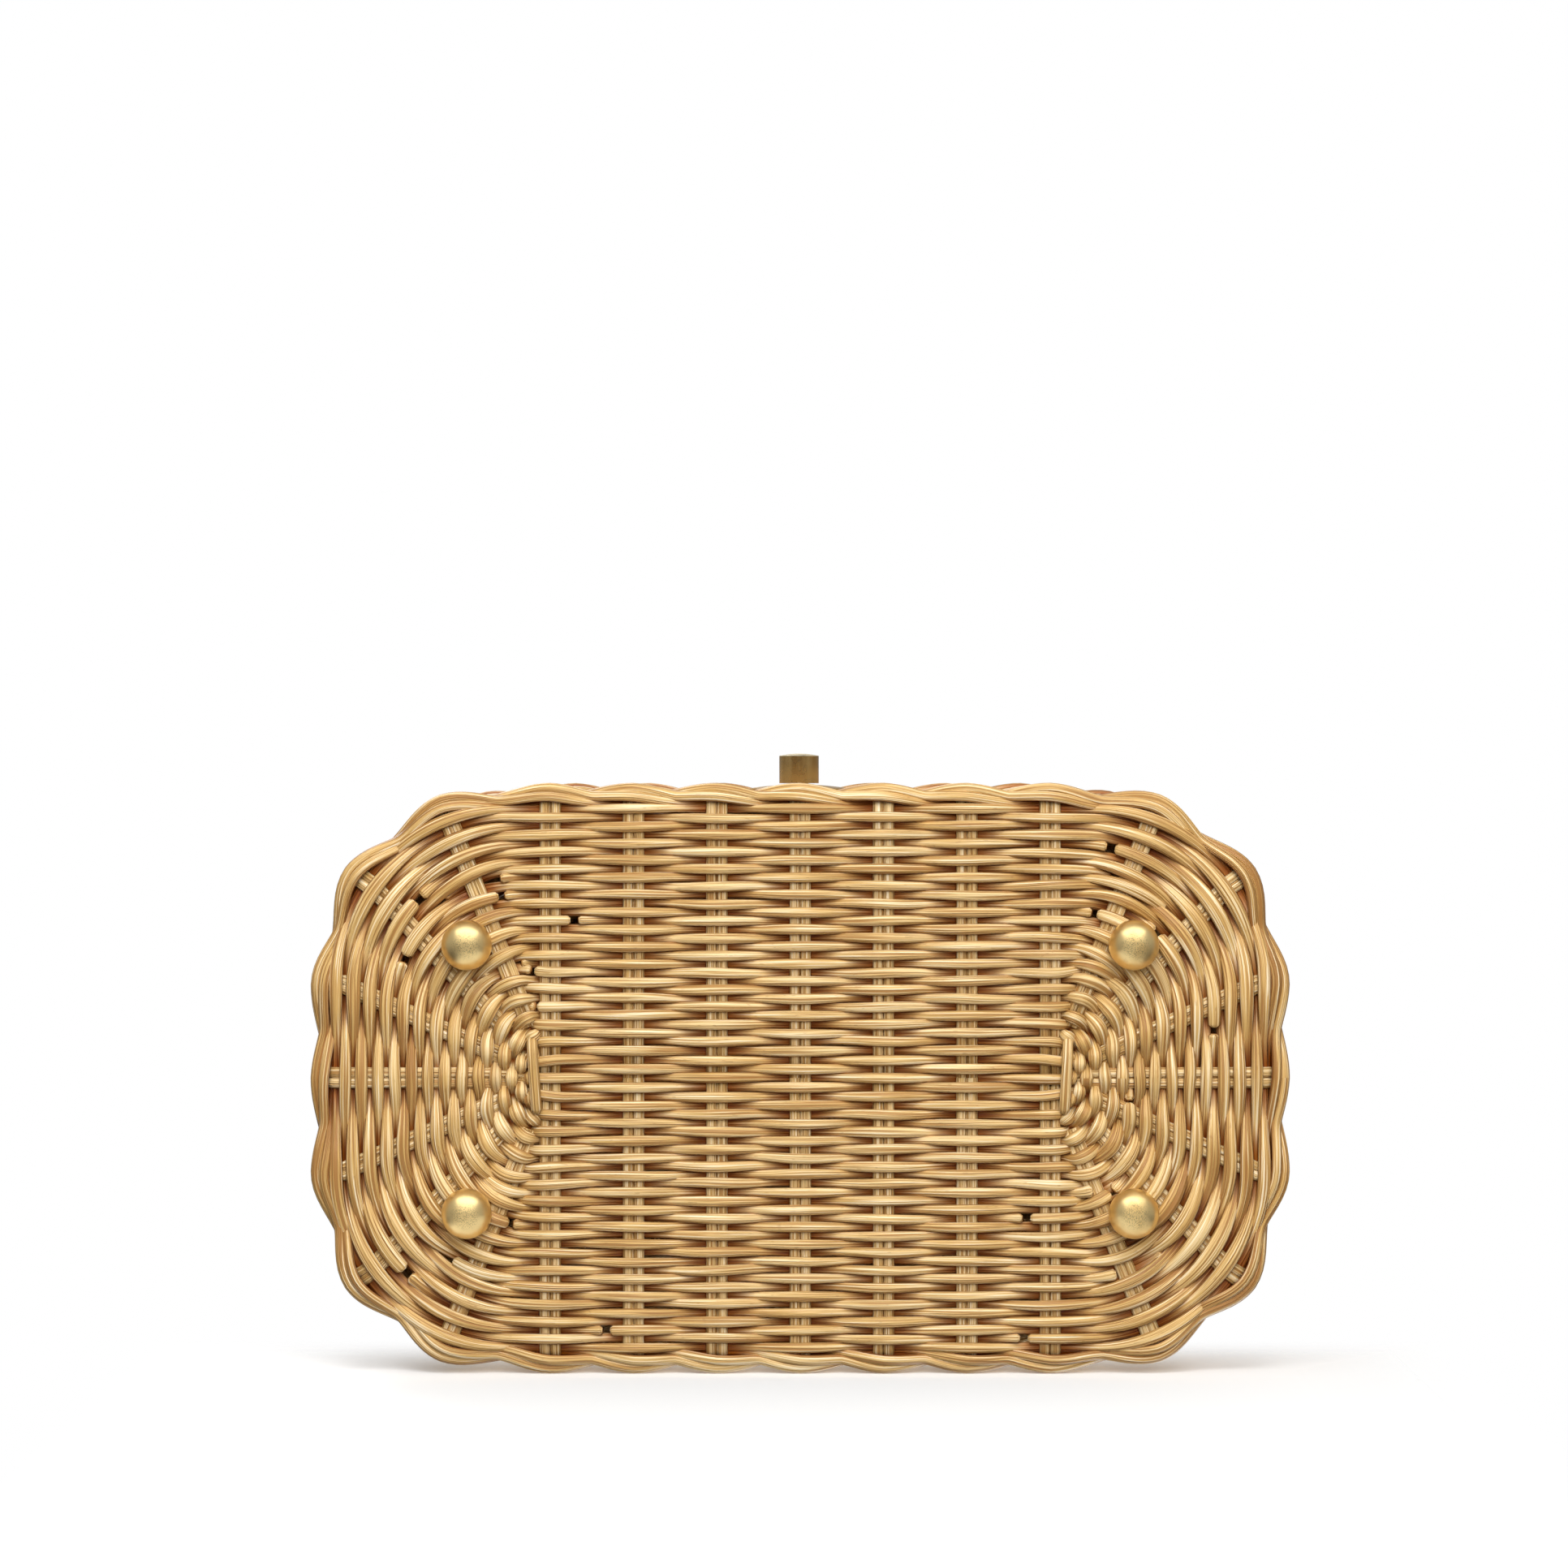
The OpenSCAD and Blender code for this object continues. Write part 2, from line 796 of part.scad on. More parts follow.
module ferrule(sx) {
    color(BRASS)
        translate([sx * handle_x, 0, lid_z])
            difference() {
                union() {
                    cylinder(r = cane_r + 4, h = 1.6);
                    cylinder(r = cane_r + 1.5, h = ferrule_h);
                }
                translate([0, 0, 3])
                    cylinder(r = cane_r + 0.05, h = ferrule_h);
                translate([0, 0, -1])
                    cylinder(r = screw_r + run_fit, h = 5);
            }
}

module handle_ferrule_left() {
    ferrule(-1);
}

module handle_ferrule_right() {
    ferrule(1);
}

module handle_screws() {
    color(BRASS)
        for (sx = [-1, 1])
            translate([sx * handle_x, 0, ceiling_z - washer_t]) {
                cylinder(r = screw_r, h = panel_t + washer_t + screw_bite);
                translate([0, 0, -screw_head_h])
                    cylinder(r = screw_head_r, h = screw_head_h);
            }
}

module handle_washers() {
    color(BRASS)
        for (sx = [-1, 1])
            translate([sx * handle_x, 0, ceiling_z - washer_t])
                difference() {
                    cylinder(r = handle_washer_r, h = washer_t);
                    translate([0, 0, -1])
                        cylinder(r = screw_r + loose_fit, h = washer_t + 2);
                }
}

base_weave();
base_core_rods();
base_wale();
side_weave();
body_border();
foot_front_left();
foot_front_right();
foot_rear_left();
foot_rear_right();
foot_washers();
foot_nuts();
hinge_left_lower_leaf();
hinge_right_lower_leaf();
hinge_left_upper_leaf();
hinge_right_upper_leaf();
hinge_left_pin();
hinge_right_pin();
hinge_rivets_body();
hinge_rivets_lid();
hinge_burrs_body();
hinge_burrs_lid();
lock_rosette();
lock_bush();
lock_washer();
twist_knob();
cam_bar();
cam_nut();
strike_hook();
strike_rivets();
lid_border();
lid_side_weave();
lid_top_weave();
lid_core_rods();
lid_wale();
handle_bow();
handle_ferrule_left();
handle_ferrule_right();
handle_screws();
handle_washers();
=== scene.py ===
"""Rattan vanity case: the woven strands, the brass and the cane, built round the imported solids."""

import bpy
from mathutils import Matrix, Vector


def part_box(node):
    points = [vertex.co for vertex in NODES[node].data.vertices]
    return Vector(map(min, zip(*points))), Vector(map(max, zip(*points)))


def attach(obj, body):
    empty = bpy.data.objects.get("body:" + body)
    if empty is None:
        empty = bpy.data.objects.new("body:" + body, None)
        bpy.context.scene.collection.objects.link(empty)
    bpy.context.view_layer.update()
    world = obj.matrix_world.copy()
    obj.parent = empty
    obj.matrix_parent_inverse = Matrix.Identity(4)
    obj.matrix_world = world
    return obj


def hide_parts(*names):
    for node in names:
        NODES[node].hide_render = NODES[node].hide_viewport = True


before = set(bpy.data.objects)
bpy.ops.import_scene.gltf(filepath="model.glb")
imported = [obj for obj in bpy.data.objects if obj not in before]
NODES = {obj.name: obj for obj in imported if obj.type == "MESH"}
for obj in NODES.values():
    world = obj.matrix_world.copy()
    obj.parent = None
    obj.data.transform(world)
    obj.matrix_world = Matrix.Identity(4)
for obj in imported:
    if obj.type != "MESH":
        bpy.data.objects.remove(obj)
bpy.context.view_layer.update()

import math

import bpy
import numpy as np
from bpy.props import FloatProperty, FloatVectorProperty, IntProperty, PointerProperty
from mathutils import Vector

bl_info = {
    "name": "Rattan vanity case",
    "version": (1, 0, 0),
    "blender": (4, 2, 0),
    "location": "View3D > Sidebar > Vanity case",
    "description": "Weaves the case, finishes its brass and cane and sets it on its stage",
    "category": "Object",
}

# Sizes of the case, in metres
HALF_W, HALF_D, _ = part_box("base_wale")[1]
CORNER_R = 0.048
STRAIGHT_X = HALF_W - CORNER_R
STRAIGHT_Y = HALF_D - CORNER_R
CREST_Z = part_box("base_weave")[0].z
TOP_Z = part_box("lid_top_weave")[1].z
SEAM_Z = 0.5 * (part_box("body_border")[1].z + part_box("lid_border")[0].z)
KNOB_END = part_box("twist_knob")[0].y

# Stakes round the case, counted from the middle of one end, and their distance on the long sides
STAKES = 28
PITCH = 0.284 * STRAIGHT_X


class CaseSizes(bpy.types.PropertyGroup):
    """Sizes of the weave and of the handle binding."""

    strand: FloatProperty(
        name="Strand", description="Thickness of a weaver", default=0.0022, unit="LENGTH")
    strand_over: FloatProperty(
        name="Strand width", description="Width of a weaver where it lies over a stake",
        default=0.00272, unit="LENGTH")
    strand_between: FloatProperty(
        name="Width between", description="Width of a weaver between two stakes",
        default=0.00224, unit="LENGTH")
    stake: FloatProperty(
        name="Stake", description="Width of one stake rod", default=0.0027, unit="LENGTH")
    stake_thick: FloatProperty(
        name="Stake thickness", description="Thickness of one stake rod", default=0.0021, unit="LENGTH")
    row: FloatProperty(
        name="Row", description="Height of one woven row on the walls", default=0.00208, unit="LENGTH")
    loops: IntProperty(
        name="Loops", description="Whole loops of weaver round a panel", default=24)
    binding: FloatProperty(
        name="Binding", description="Width of the peel wound round the handle",
        default=0.0042, unit="LENGTH")


class CaseColours(bpy.types.PropertyGroup):
    """Colours of the finishes."""

    straw: FloatVectorProperty(
        name="Straw", description="Pale rattan", subtype="COLOR", default=(0.83, 0.60, 0.285))
    honey: FloatVectorProperty(
        name="Honey", description="Rattan of middle tone", subtype="COLOR", default=(0.65, 0.40, 0.13))
    amber: FloatVectorProperty(
        name="Amber", description="Darkest rattan", subtype="COLOR", default=(0.37, 0.172, 0.043))
    brass: FloatVectorProperty(
        name="Brass", description="Satin brass", subtype="COLOR", default=(0.92, 0.71, 0.335))
    aged: FloatVectorProperty(
        name="Aged brass", description="Brass where it has browned",
        subtype="COLOR", default=(0.36, 0.22, 0.075))


# Plan of the stakes
def unit(rows):
    """Rows of vectors brought to length 1."""
    return rows / np.linalg.norm(rows, axis=1)[:, None]


def fold(s):
    """Stake number counted from the nearer end of the case, 0 to 7."""
    s = np.mod(s, STAKES)
    return np.where(s <= 7, s, np.where(s <= 14, 14 - s, np.where(s <= 21, s - 14, STAKES - s)))


def outline(inset, s):
    """Point of the case outline, set in by inset, at stake s."""
    s = np.mod(np.asarray(s, float), STAKES)
    inset = np.broadcast_to(np.asarray(inset, float), s.shape)
    r = CORNER_R - inset
    f = fold(s)
    arc = r * math.pi / 2
    # Way along a quarter of the outline at which some of the stakes stand
    knots = [0.94 * STRAIGHT_Y + 0 * r,
             STRAIGHT_Y + r * math.radians(34.5),
             STRAIGHT_Y + r * math.radians(70),
             STRAIGHT_Y + arc + STRAIGHT_X - 3 * PITCH,
             STRAIGHT_Y + arc + STRAIGHT_X]
    stops = [1, 2, 3, 4, 7]
    length = f * knots[0]
    for (a, la), (b, lb) in zip(zip(stops, knots), zip(stops[1:], knots[1:])):
        length = np.where(f >= a, la + (lb - la) * (f - a) / (b - a), length)
    turn = np.clip((length - STRAIGHT_Y) / r, 0, math.pi / 2)
    x = STRAIGHT_X + r * np.cos(turn) - np.clip(length - STRAIGHT_Y - arc, 0, None)
    y = np.minimum(length, STRAIGHT_Y) + r * np.sin(turn)
    x = np.where((s <= 7) | (s > 21), x, -x)
    y = np.where(s <= 14, y, -y)
    return np.stack([x, y], -1)


def core_knots():
    """Where the inmost loop passes each stake."""
    f = fold(np.arange(STAKES))
    far = 3 * PITCH + 0.004
    x = np.interp(f, [0, 1, 2, 3, 4, 7], [far, far - 0.0001, far - 0.0004, far - 0.0013, 3 * PITCH, 0])
    y = 0.008 * np.interp(f, [0, 1, 2, 3, 4, 7], [0, 0.25, 0.52, 0.86, 1, 1])
    s = np.arange(STAKES)
    return np.stack([np.where((s <= 7) | (s > 21), x, -x), np.where(s <= 14, y, -y)], -1)


CORE = core_knots()


def core(s):
    """Smooth closed curve through the knots of the inmost loop."""
    s = np.mod(np.asarray(s, float), STAKES)
    i = np.floor(s).astype(int)
    u = (s - i)[:, None]
    a, b, c, d = (CORE[(i + k) % STAKES] for k in (-1, 0, 1, 2))
    square = (2 * a - 5 * b + 4 * c - d) * u ** 2
    cube = (3 * b - a - 3 * c + d) * u ** 3
    return 0.5 * (2 * b + (c - a) * u + square + cube)


def places(per_stake):
    """Places round the case, closer together in stake counts where the stakes stand further apart."""
    share = {0: 1.1, 1: 1.2, 2: 1.75, 3: 1.2}
    out = []
    for s in range(STAKES):
        near = int(fold(np.array([s + 0.5]))[0])
        n = int(round(per_stake * share.get(near, 1.0)))
        out.append(s + np.arange(n) / n)
    return np.concatenate(out)


def ease(a, b, x):
    """Smooth step from 0 at a to 1 at b."""
    u = np.clip((x - a) / (b - a), 0, 1)
    return u * u * (3 - 2 * u)


def wander(rng, s, size):
    """Small slow wander of a hand-laid strand, periodic round the case."""
    out = np.zeros_like(s)
    for k in (2, 3, 5, 9, 14, 23):
        out += rng.normal() * np.sin(2 * math.pi * k * s / STAKES + rng.uniform(0, 6.3))
    return size * out / 2.4


# Strands as swept tubes

# Share of the section that is left as a flat face where a strand is cut
CUT_FLAT = 0.4


class Strands:
    """Collects swept strands and makes one mesh of them."""

    def __init__(self, seed):
        self.rng = np.random.default_rng(seed)
        self.points, self.tints, self.faces, self.uvs = [], [], [], []
        self.count = 0

    def add(self, path, normal, width, thick, closed=False, sides=8, tone=None, gold=0.0, round_end=0.0,
            level=None, reach=1.0):
        """Sweeps an oval section along path, with normal giving the outer side of the strand.

        level is the height of the strand over the middle of the weave, and reach is half the
        thickness of the weave.
        """
        path = np.asarray(path, float)
        n = len(path)
        width = np.broadcast_to(np.asarray(width, float), (n,)).copy()
        thick = np.broadcast_to(np.asarray(thick, float), (n,)).copy()
        normal = np.broadcast_to(np.asarray(normal, float), (n, 3))
        gold = np.broadcast_to(np.asarray(gold, float), (n,))
        height = np.zeros(n) if level is None else np.asarray(level, float)
        if round_end:
            # More rings close to each end, so that the edge of the cut comes out round
            run = np.append(0, np.cumsum(np.linalg.norm(np.diff(path, axis=0), axis=1)))
            tip = round_end * np.array([0, 0.06, 0.2, 0.42, 0.7, 1.0])
            inner = run[(run > 1.3 * round_end) & (run < run[-1] - 1.3 * round_end)]
            at = np.concatenate([tip, inner, run[-1] - tip[::-1]])
            bundle = np.column_stack([path, normal, width, thick, gold, height])
            bundle = np.column_stack([np.interp(at, run, column) for column in bundle.T])
            path, normal = bundle[:, :3], bundle[:, 3:6]
            width, thick, gold, height = bundle[:, 6:].T.copy()
            n = len(path)
        if closed:
            tangent = np.roll(path, -1, 0) - np.roll(path, 1, 0)
        else:
            tangent = np.gradient(path, axis=0)
        tangent = unit(tangent)
        normal = unit(normal - (normal * tangent).sum(1)[:, None] * tangent)
        across = np.cross(normal, tangent)
        step = np.linalg.norm(np.diff(path, axis=0), axis=1)
        along = np.concatenate([[0], np.cumsum(step)])
        whole = along[-1] + (np.linalg.norm(path[0] - path[-1]) if closed else 0)
        if round_end:
            near = np.minimum(along, whole - along)
            shrink = np.sqrt(np.clip(1 - (1 - np.clip(near / round_end, 0, 1)) ** 2, CUT_FLAT, 1))
            width *= shrink
            thick *= shrink
        angle = 2 * math.pi * np.arange(sides) / sides
        ring = (across[:, None, :] * (0.5 * width)[:, None, None] * np.cos(angle)[None, :, None]
                + normal[:, None, :] * (0.5 * thick)[:, None, None] * np.sin(angle)[None, :, None])
        verts = (path[:, None, :] + ring).reshape(-1, 3)
        i = np.arange(n if closed else n - 1)
        j = (i + 1) % n
        k = np.arange(sides)
        k2 = (k + 1) % sides
        a = (i[:, None] * sides + k[None]).ravel()
        b = (i[:, None] * sides + k2[None]).ravel()
        c = (j[:, None] * sides + k2[None]).ravel()
        d = (j[:, None] * sides + k[None]).ravel()
        quads = np.stack([a, b, c, d], -1) + self.count
        start = self.rng.uniform(0, 5)
        u0 = np.repeat(along[i], sides) + start
        u1 = np.repeat(np.append(along, whole)[i + 1], sides) + start
        v0 = np.tile(k / sides, len(i))
        v1 = np.tile((k + 1) / sides, len(i))
        uv = np.stack([np.stack([u0, v0], -1), np.stack([u0, v1], -1),
                       np.stack([u1, v1], -1), np.stack([u1, v0], -1)], 1)
        self.faces.extend(quads.tolist())
        self.uvs.append(uv.reshape(-1, 2))
        if not closed:
            first = (np.arange(sides)[::-1] + self.count).tolist()
            last = (np.arange(sides) + (n - 1) * sides + self.count).tolist()
            self.faces.extend([first, last])
            self.uvs.append(np.tile([[start, 0.5]], (2 * sides, 1)))
        if tone is None:
            tone = self.rng.beta(2.2, 2.2)
        tint = np.ones((n, sides, 4))
        tint[..., 0] = tone
        tint[..., 1] = self.rng.uniform()
        tint[..., 2] = gold[:, None]
        tint[..., 3] = 0.25
        if level is not None:
            # Depth in the weave, seen from the side that a point faces, which the material darkens as
            # painted shade
            rise = (height[:, None] + 0.5 * thick[:, None] * np.sin(angle)) / reach
            facing = 0.5 + 0.5 * np.sin(angle)
            tint[..., 3] = 0.5 + 0.5 * rise * (1 - 2 * facing)
        self.points.append(verts)
        self.tints.append(tint.reshape(-1, 4))
        self.count += len(verts)

    def make(self, name, material):
        """The finished object."""
        mesh = bpy.data.meshes.new(name)
        mesh.from_pydata(np.concatenate(self.points).tolist(), [], self.faces)
        mesh.update()
        layer = mesh.uv_layers.new(name="strand")
        layer.data.foreach_set("uv", np.concatenate(self.uvs).astype(np.float32).ravel())
        tint = mesh.color_attributes.new("tint", "FLOAT_COLOR", "POINT")
        tint.data.foreach_set("color", np.concatenate(self.tints).astype(np.float32).ravel())
        mesh.polygons.foreach_set("use_smooth", np.ones(len(mesh.polygons), bool))
        mesh.materials.append(material)
        obj = bpy.data.objects.new(name, mesh)
        bpy.context.collection.objects.link(obj)
        return obj


def golden(xy):
    """How far a strand has ambered: most at the curved ends of the case."""
    return ease(0.045, 0.105, np.abs(xy[..., 0]))


# Weaving

# Inset of the outmost row of a panel, and of the middle of the walls
EDGE = 0.0049
WALL_INSET = 0.0050
# Loops after which two short rows are put in on each long side
SHORT_AFTER = (8, 16)
# Stakes between which rows pass from their spacing at the ends to that at the sides
ENDS_TO_SIDES = (1.9, 4.3)
# Row spacing at which a weaver has its plain width
PLAIN_ROOM = 0.00215
# Rise and fall of a weaver, as a share of the thickness of stake and strand together
PANEL_LIFT = 0.48
WALL_LIFT = 0.45
# Rounding of the edge where a weaver is cut
CUT_ROUND = 0.0007
# Half length of the straight rods of the core, their number and the width they fill together
ROD_REACH = 0.0685
RODS = 7
RODS_WIDE = 0.016
# Twined edge: inset, depth below the crest, tilt in degrees and start in stakes of each round
EDGE_ROUNDS = ((0.0036, 0.0037, 60, 0), (0.0044, 0.0069, 8, 1))
# Rise and swing of its strand, how far it is drawn out, and its section
EDGE_LIFT, EDGE_SWING, EDGE_OUT = 0.0034, 0.0012, 0.0007
EDGE_WIDTH, EDGE_THICK = 0.00268, 0.0024
# Room that the twined edge takes from the wall beside it
EDGE_ROOM = 0.0017
# Rope border: inset of its middle, distance of its strands from there, and their section
ROPE_INSET = 0.00478
ROPE_LAY = 0.00168
ROPE_WIDTH, ROPE_THICK = 0.00315, 0.00292


def panel_rows(sizes):
    """Each row of a panel as (side place, share at the ends, share at the sides)."""
    sides = sizes.loops + 2 * len(SHORT_AFTER)
    rows = []
    place = 0
    for j in range(sizes.loops):
        rows.append((place, (j + 0.5) / sizes.loops, (place + 0.5) / sides))
        place += 1
        if j in SHORT_AFTER:
            place += 2
    return rows, sides


def row_xy(s, at_end, at_side, nudge):
    """Plan of a panel row: shares of the way from core to edge, blended from the ends to the sides."""
    w = ease(*ENDS_TO_SIDES, fold(s))
    t = (at_end + (at_side - at_end) * w)[:, None]
    a, b = core(s), outline(EDGE, s)
    return a + (b - a) * t + unit(b - a) * np.asarray(nudge)[:, None]


def row_room(sizes, s):
    """Room that each row of a panel has at stake s, against the room on the long sides."""
    w = ease(*ENDS_TO_SIDES, fold(s))
    count = sizes.loops + 2 * len(SHORT_AFTER) * w
    room = np.linalg.norm(outline(EDGE, s) - core(s), axis=1) / count
    return np.clip((room / PLAIN_ROOM) ** 1.5, 0.9, 1.5)


# Where weavers end on the base, in millimetres, with the way the visible end points along the row
CUTS = ((-78.6, -54.8, 1), (-75.4, -46.0, 1), (-56.0, -39.6, 1), (-54.2, -26.4, -1), (-54.2, -17.8, -1),
        (-99.0, -21.0, -1), (59.0, -58.2, -1), (77.4, -44.0, -1), (57.6, -39.8, -1), (98.0, -18.0, 1),
        (-58.6, 39.6, -1), (-79.2, 47.0, -1), (-61.2, 57.6, 1), (56.8, 38.2, 1), (56.2, 55.6, 1),
        (75.6, 45.0, -1), (97.0, 20.0, -1))


def find_cuts(rows):
    """For each row that is cut, the stake places of its ends."""
    s = np.arange(0, STAKES, 0.02)
    plans = [row_xy(s, at_end, at_side, 0 * s) for _, at_end, at_side in rows]
    found = {}
    for x, y, way in CUTS:
        far = [np.hypot(plan[:, 0] - x / 1000, plan[:, 1] - y / 1000) for plan in plans]
        n = min((k for k in range(len(rows)) if k not in found), key=lambda k: far[k].min())
        at = s[far[n].argmin()]
        place = rows[n][0]
        # The end lies a little past a stake that the row goes over
        over = np.round((at + place - 0.3 * way) / 2) * 2 - place + 0.3 * way
        found.setdefault(n, []).append((over % STAKES, way))
    return found


def weave_panel(sizes, seed, crest, up, per_stake, sides_round):
    """Loops, short rows and core rods of a base or lid top. up is -1 for the base and 1 for the top."""
    work = Strands(seed)
    rng = work.rng
    lift = PANEL_LIFT * (sizes.stake_thick + sizes.strand)
    reach = lift + 0.5 * sizes.strand
    plane = crest - up * reach
    normal = (0, 0, up)
    # The lid top is woven a little fuller than the base
    full = 1.0 if up < 0 else 1.2
    swell = sizes.strand_over - sizes.strand_between

    def lay(s, xy, row, closed, round_end=0.0):
        """Lays one weaver along its plan."""
        wave = np.cos(math.pi * (s + row))
        z = plane + up * (lift * wave + wander(rng, s, 0.00008))
        between = np.abs(wave) ** 1.2
        width = sizes.strand_between + swell * between
        width *= row_room(sizes, s) * (rng.uniform(0.95, 1.05) + wander(rng, s, 0.02))
        # Weavers spread where they bend hard round the ends
        width *= 1 + (1 - ease(0.8, 3.4, fold(s))) * (0.14 + 0.06 * between)
        thick = full * sizes.strand * rng.uniform(0.97, 1.03)
        work.add(np.column_stack([xy, z]), normal, width * full, thick, closed, sides_round,
                 None, golden(xy), round_end, lift * wave, reach)

    rows, count = panel_rows(sizes)
    s = places(per_stake)
    cuts = find_cuts(rows) if up < 0 else {}
    for n, (place, at_end, at_side) in enumerate(rows):
        nudge = wander(rng, s, 0.0002)
        if n not in cuts:
            lay(s, row_xy(s, at_end, at_side, nudge), place, True)
            continue
        ends = sorted(cuts[n])
        for (a, way_a), (b, way_b) in zip(ends, ends[1:] + [(ends[0][0] + STAKES, ends[0][1])]):
            a += 0.03 if way_a < 0 else 0.07
            b -= 0.03 if way_b > 0 else 0.07
            part = np.linspace(a, b, int((b - a) * per_stake) + 1)
            drift = np.interp(np.mod(part, STAKES), s, nudge)
            lay(part, row_xy(part, at_end, at_side, drift), place, False, CUT_ROUND)
    for n, after in enumerate(SHORT_AFTER):
        for half in (7, 21):
            for extra in (1, 2):
                place = after + 2 * n + extra
                to_left, to_right = ((3.75, 4.5), (4.35, 3.9))[extra - 1]
                left = half - to_left + rng.uniform(-0.22, 0.22)
                right = half + to_right + rng.uniform(-0.22, 0.22)
                t = np.linspace(left, right, int((right - left) * per_stake) + 1)
                before = (after + 0.5) / sizes.loops
                step = 1 / sizes.loops
                at_end = before + step * extra / 3
                xy = row_xy(t, at_end, (place + 0.5) / count, wander(rng, t, 0.0001))
                lay(t, xy, place, False, CUT_ROUND)
    # Straight rods of the core, woven over and under the stakes that cross them
    for r in range(RODS):
        y = RODS_WIDE * ((r + 0.5) / RODS - 0.5)
        x = np.linspace(-ROD_REACH, ROD_REACH, int(6.65 * per_stake) + 1) + rng.uniform(-0.0006, 0.0006)
        t = 7 - x / PITCH
        wave = np.cos(math.pi * (t + r + 1))
        hold = ease(0.0712, 0.064, np.abs(x))
        z = plane + up * lift * (wave * hold - 0.25 * (1 - hold))
        bend = 0.0004 * np.sin(x / 0.03 + rng.uniform(0, 6.3)) * rng.uniform(0, 1)
        pull = 1 - 0.22 * ease(0.058, ROD_REACH, np.abs(x))
        width = sizes.strand_between + swell * np.abs(wave)
        path = np.column_stack([x, y * pull + bend, z])
        work.add(path, normal, width * full, full * sizes.strand, False, sides_round,
                 None, golden(path), 0.001, lift * wave, reach)
    # Short upright rod that binds the ends of the core
    for side, lean in ((-1, 0.0006), (1, -0.0005)):
        y = np.linspace(-0.0098, 0.0084, 15)
        x = side * 0.0655 + lean * y / 0.009
        z = plane + up * (2.1 * lift - 1.5 * lift * (y / 0.0105) ** 4)
        work.add(np.column_stack([x, y, z]), normal, sizes.stake, sizes.strand, False, sides_round,
                 0.62, 0.5, 0.0012)
    return work


def stake_paths(sizes, crest, up, top):
    """Paths of the 28 double stakes: out along the panel, round the edge and along the wall to z = top."""
    lift = PANEL_LIFT * (sizes.stake_thick + sizes.strand)
    plane = crest - up * (lift + 0.5 * sizes.strand)
    # Inset and depth of the bend from the panel into the wall
    bend = ((0.0078, 0.0), (0.0055, 0.0002), (0.0044, 0.0012),
            (0.0041, 0.0030), (0.0045, 0.0052), (EDGE, 0.0075))
    # Share of the way from core to edge at which each stake of an end begins
    start = {0: 0.05, 1: 0.16, 2: 0.16, 3: 0.1}
    for s in range(STAKES):
        one = np.array([float(s)])
        f = int(fold(one)[0])
        a = core(one)[0]
        if f in start:
            a = a + (outline(EDGE, one)[0] - a) * start[f]
        else:
            # Stakes of the long sides run through from one side to the other
            a = np.array([a[0], 0.0])
        edge = outline(bend[0][0], one)[0]
        pts = [(*(a + (edge - a) * share), plane) for share in (0.0, 0.25, 0.5, 0.75)]
        pts += [(*outline(inset, one)[0], plane - up * deep) for inset, deep in bend]
        pts.append((*outline(EDGE, one)[0], top))
        yield s, np.array(pts)


def outward(s, inset=0.005):
    """Level outward direction of the outline at s."""
    d = 0.02
    t = unit(outline(inset, s + d) - outline(inset, s - d))
    return np.column_stack([t[:, 1], -t[:, 0], np.zeros(len(t))])


def lay_stakes(sizes, seed, crest, up, top):
    """Both rods of every stake."""
    work = Strands(seed)
    rng = work.rng
    for s, pts in stake_paths(sizes, crest, up, top):
        tangent = unit(np.gradient(pts, axis=0))
        out = outward(np.array([float(s)]))[0]
        aside = np.array([-out[1], out[0], 0.0])
        normal = np.cross(tangent, aside)
        flip = np.sign(normal[0, 2] * up) or 1.0
        # Rods that fan out from the core start closer together
        fanned = 0 < fold(s) < 4
        spread = np.linspace(0.72, 1, len(pts)) if fanned else np.ones(len(pts))
        for side in (-1, 1):
            gap = 0.5 * (sizes.stake - 0.00008)
            path = pts + aside * (side * gap * spread)[:, None]
            work.add(path, normal * flip, sizes.stake, sizes.stake_thick, False, 10,
                     rng.uniform(0.45, 0.85), 0.2)
    return work


def weave_wall(sizes, seed, low, high, per_stake, first):
    """Rows of a side wall between two heights."""
    work = Strands(seed)
    rng = work.rng
    rows = int(round((high - low) / sizes.row))
    pitch = (high - low) / rows
    lift = WALL_LIFT * (sizes.stake_thick + sizes.strand)
    s = places(per_stake)
    normal = outward(s)
    for r in range(rows):
        wave = np.cos(math.pi * (s + r + first))
        inset = WALL_INSET - lift * wave + wander(rng, s, 0.00008)
        xy = outline(inset, s)
        z = low + (r + 0.5) * pitch + wander(rng, s, 0.00012)
        width = 1.16 * sizes.strand_between + (sizes.strand_over - sizes.strand_between) * np.abs(wave)
        work.add(np.column_stack([xy, z]), normal, width, 1.25 * sizes.strand, True, 8,
                 None, golden(xy), 0.0, lift * wave, lift + 0.6 * sizes.strand)
    return work


def wale_wave(p):
    """Height of a twined strand: up over two stakes with a sharp dip between them, then under the third."""
    q = np.mod(p, 3.0)
    bumps = 0.68 * (np.sqrt(np.cos(math.pi * q) ** 2 + 0.03) - 0.17)
    under = 0.56 - 1.56 * np.sin(0.5 * math.pi * np.clip(q - 1, 0, 2)) ** 1.6
    return np.where(q <= 1, bumps, under)


def bow(inset, s):
    """How far a strand falls in from the outline towards the straight line between two stakes."""
    a = np.floor(s)
    mid = outline(inset, a + 0.5)
    chord = 0.5 * (outline(inset, a) + outline(inset, a + 1))
    return np.sin(math.pi * (s - a)) ** 2 * np.linalg.norm(mid - chord, axis=1)


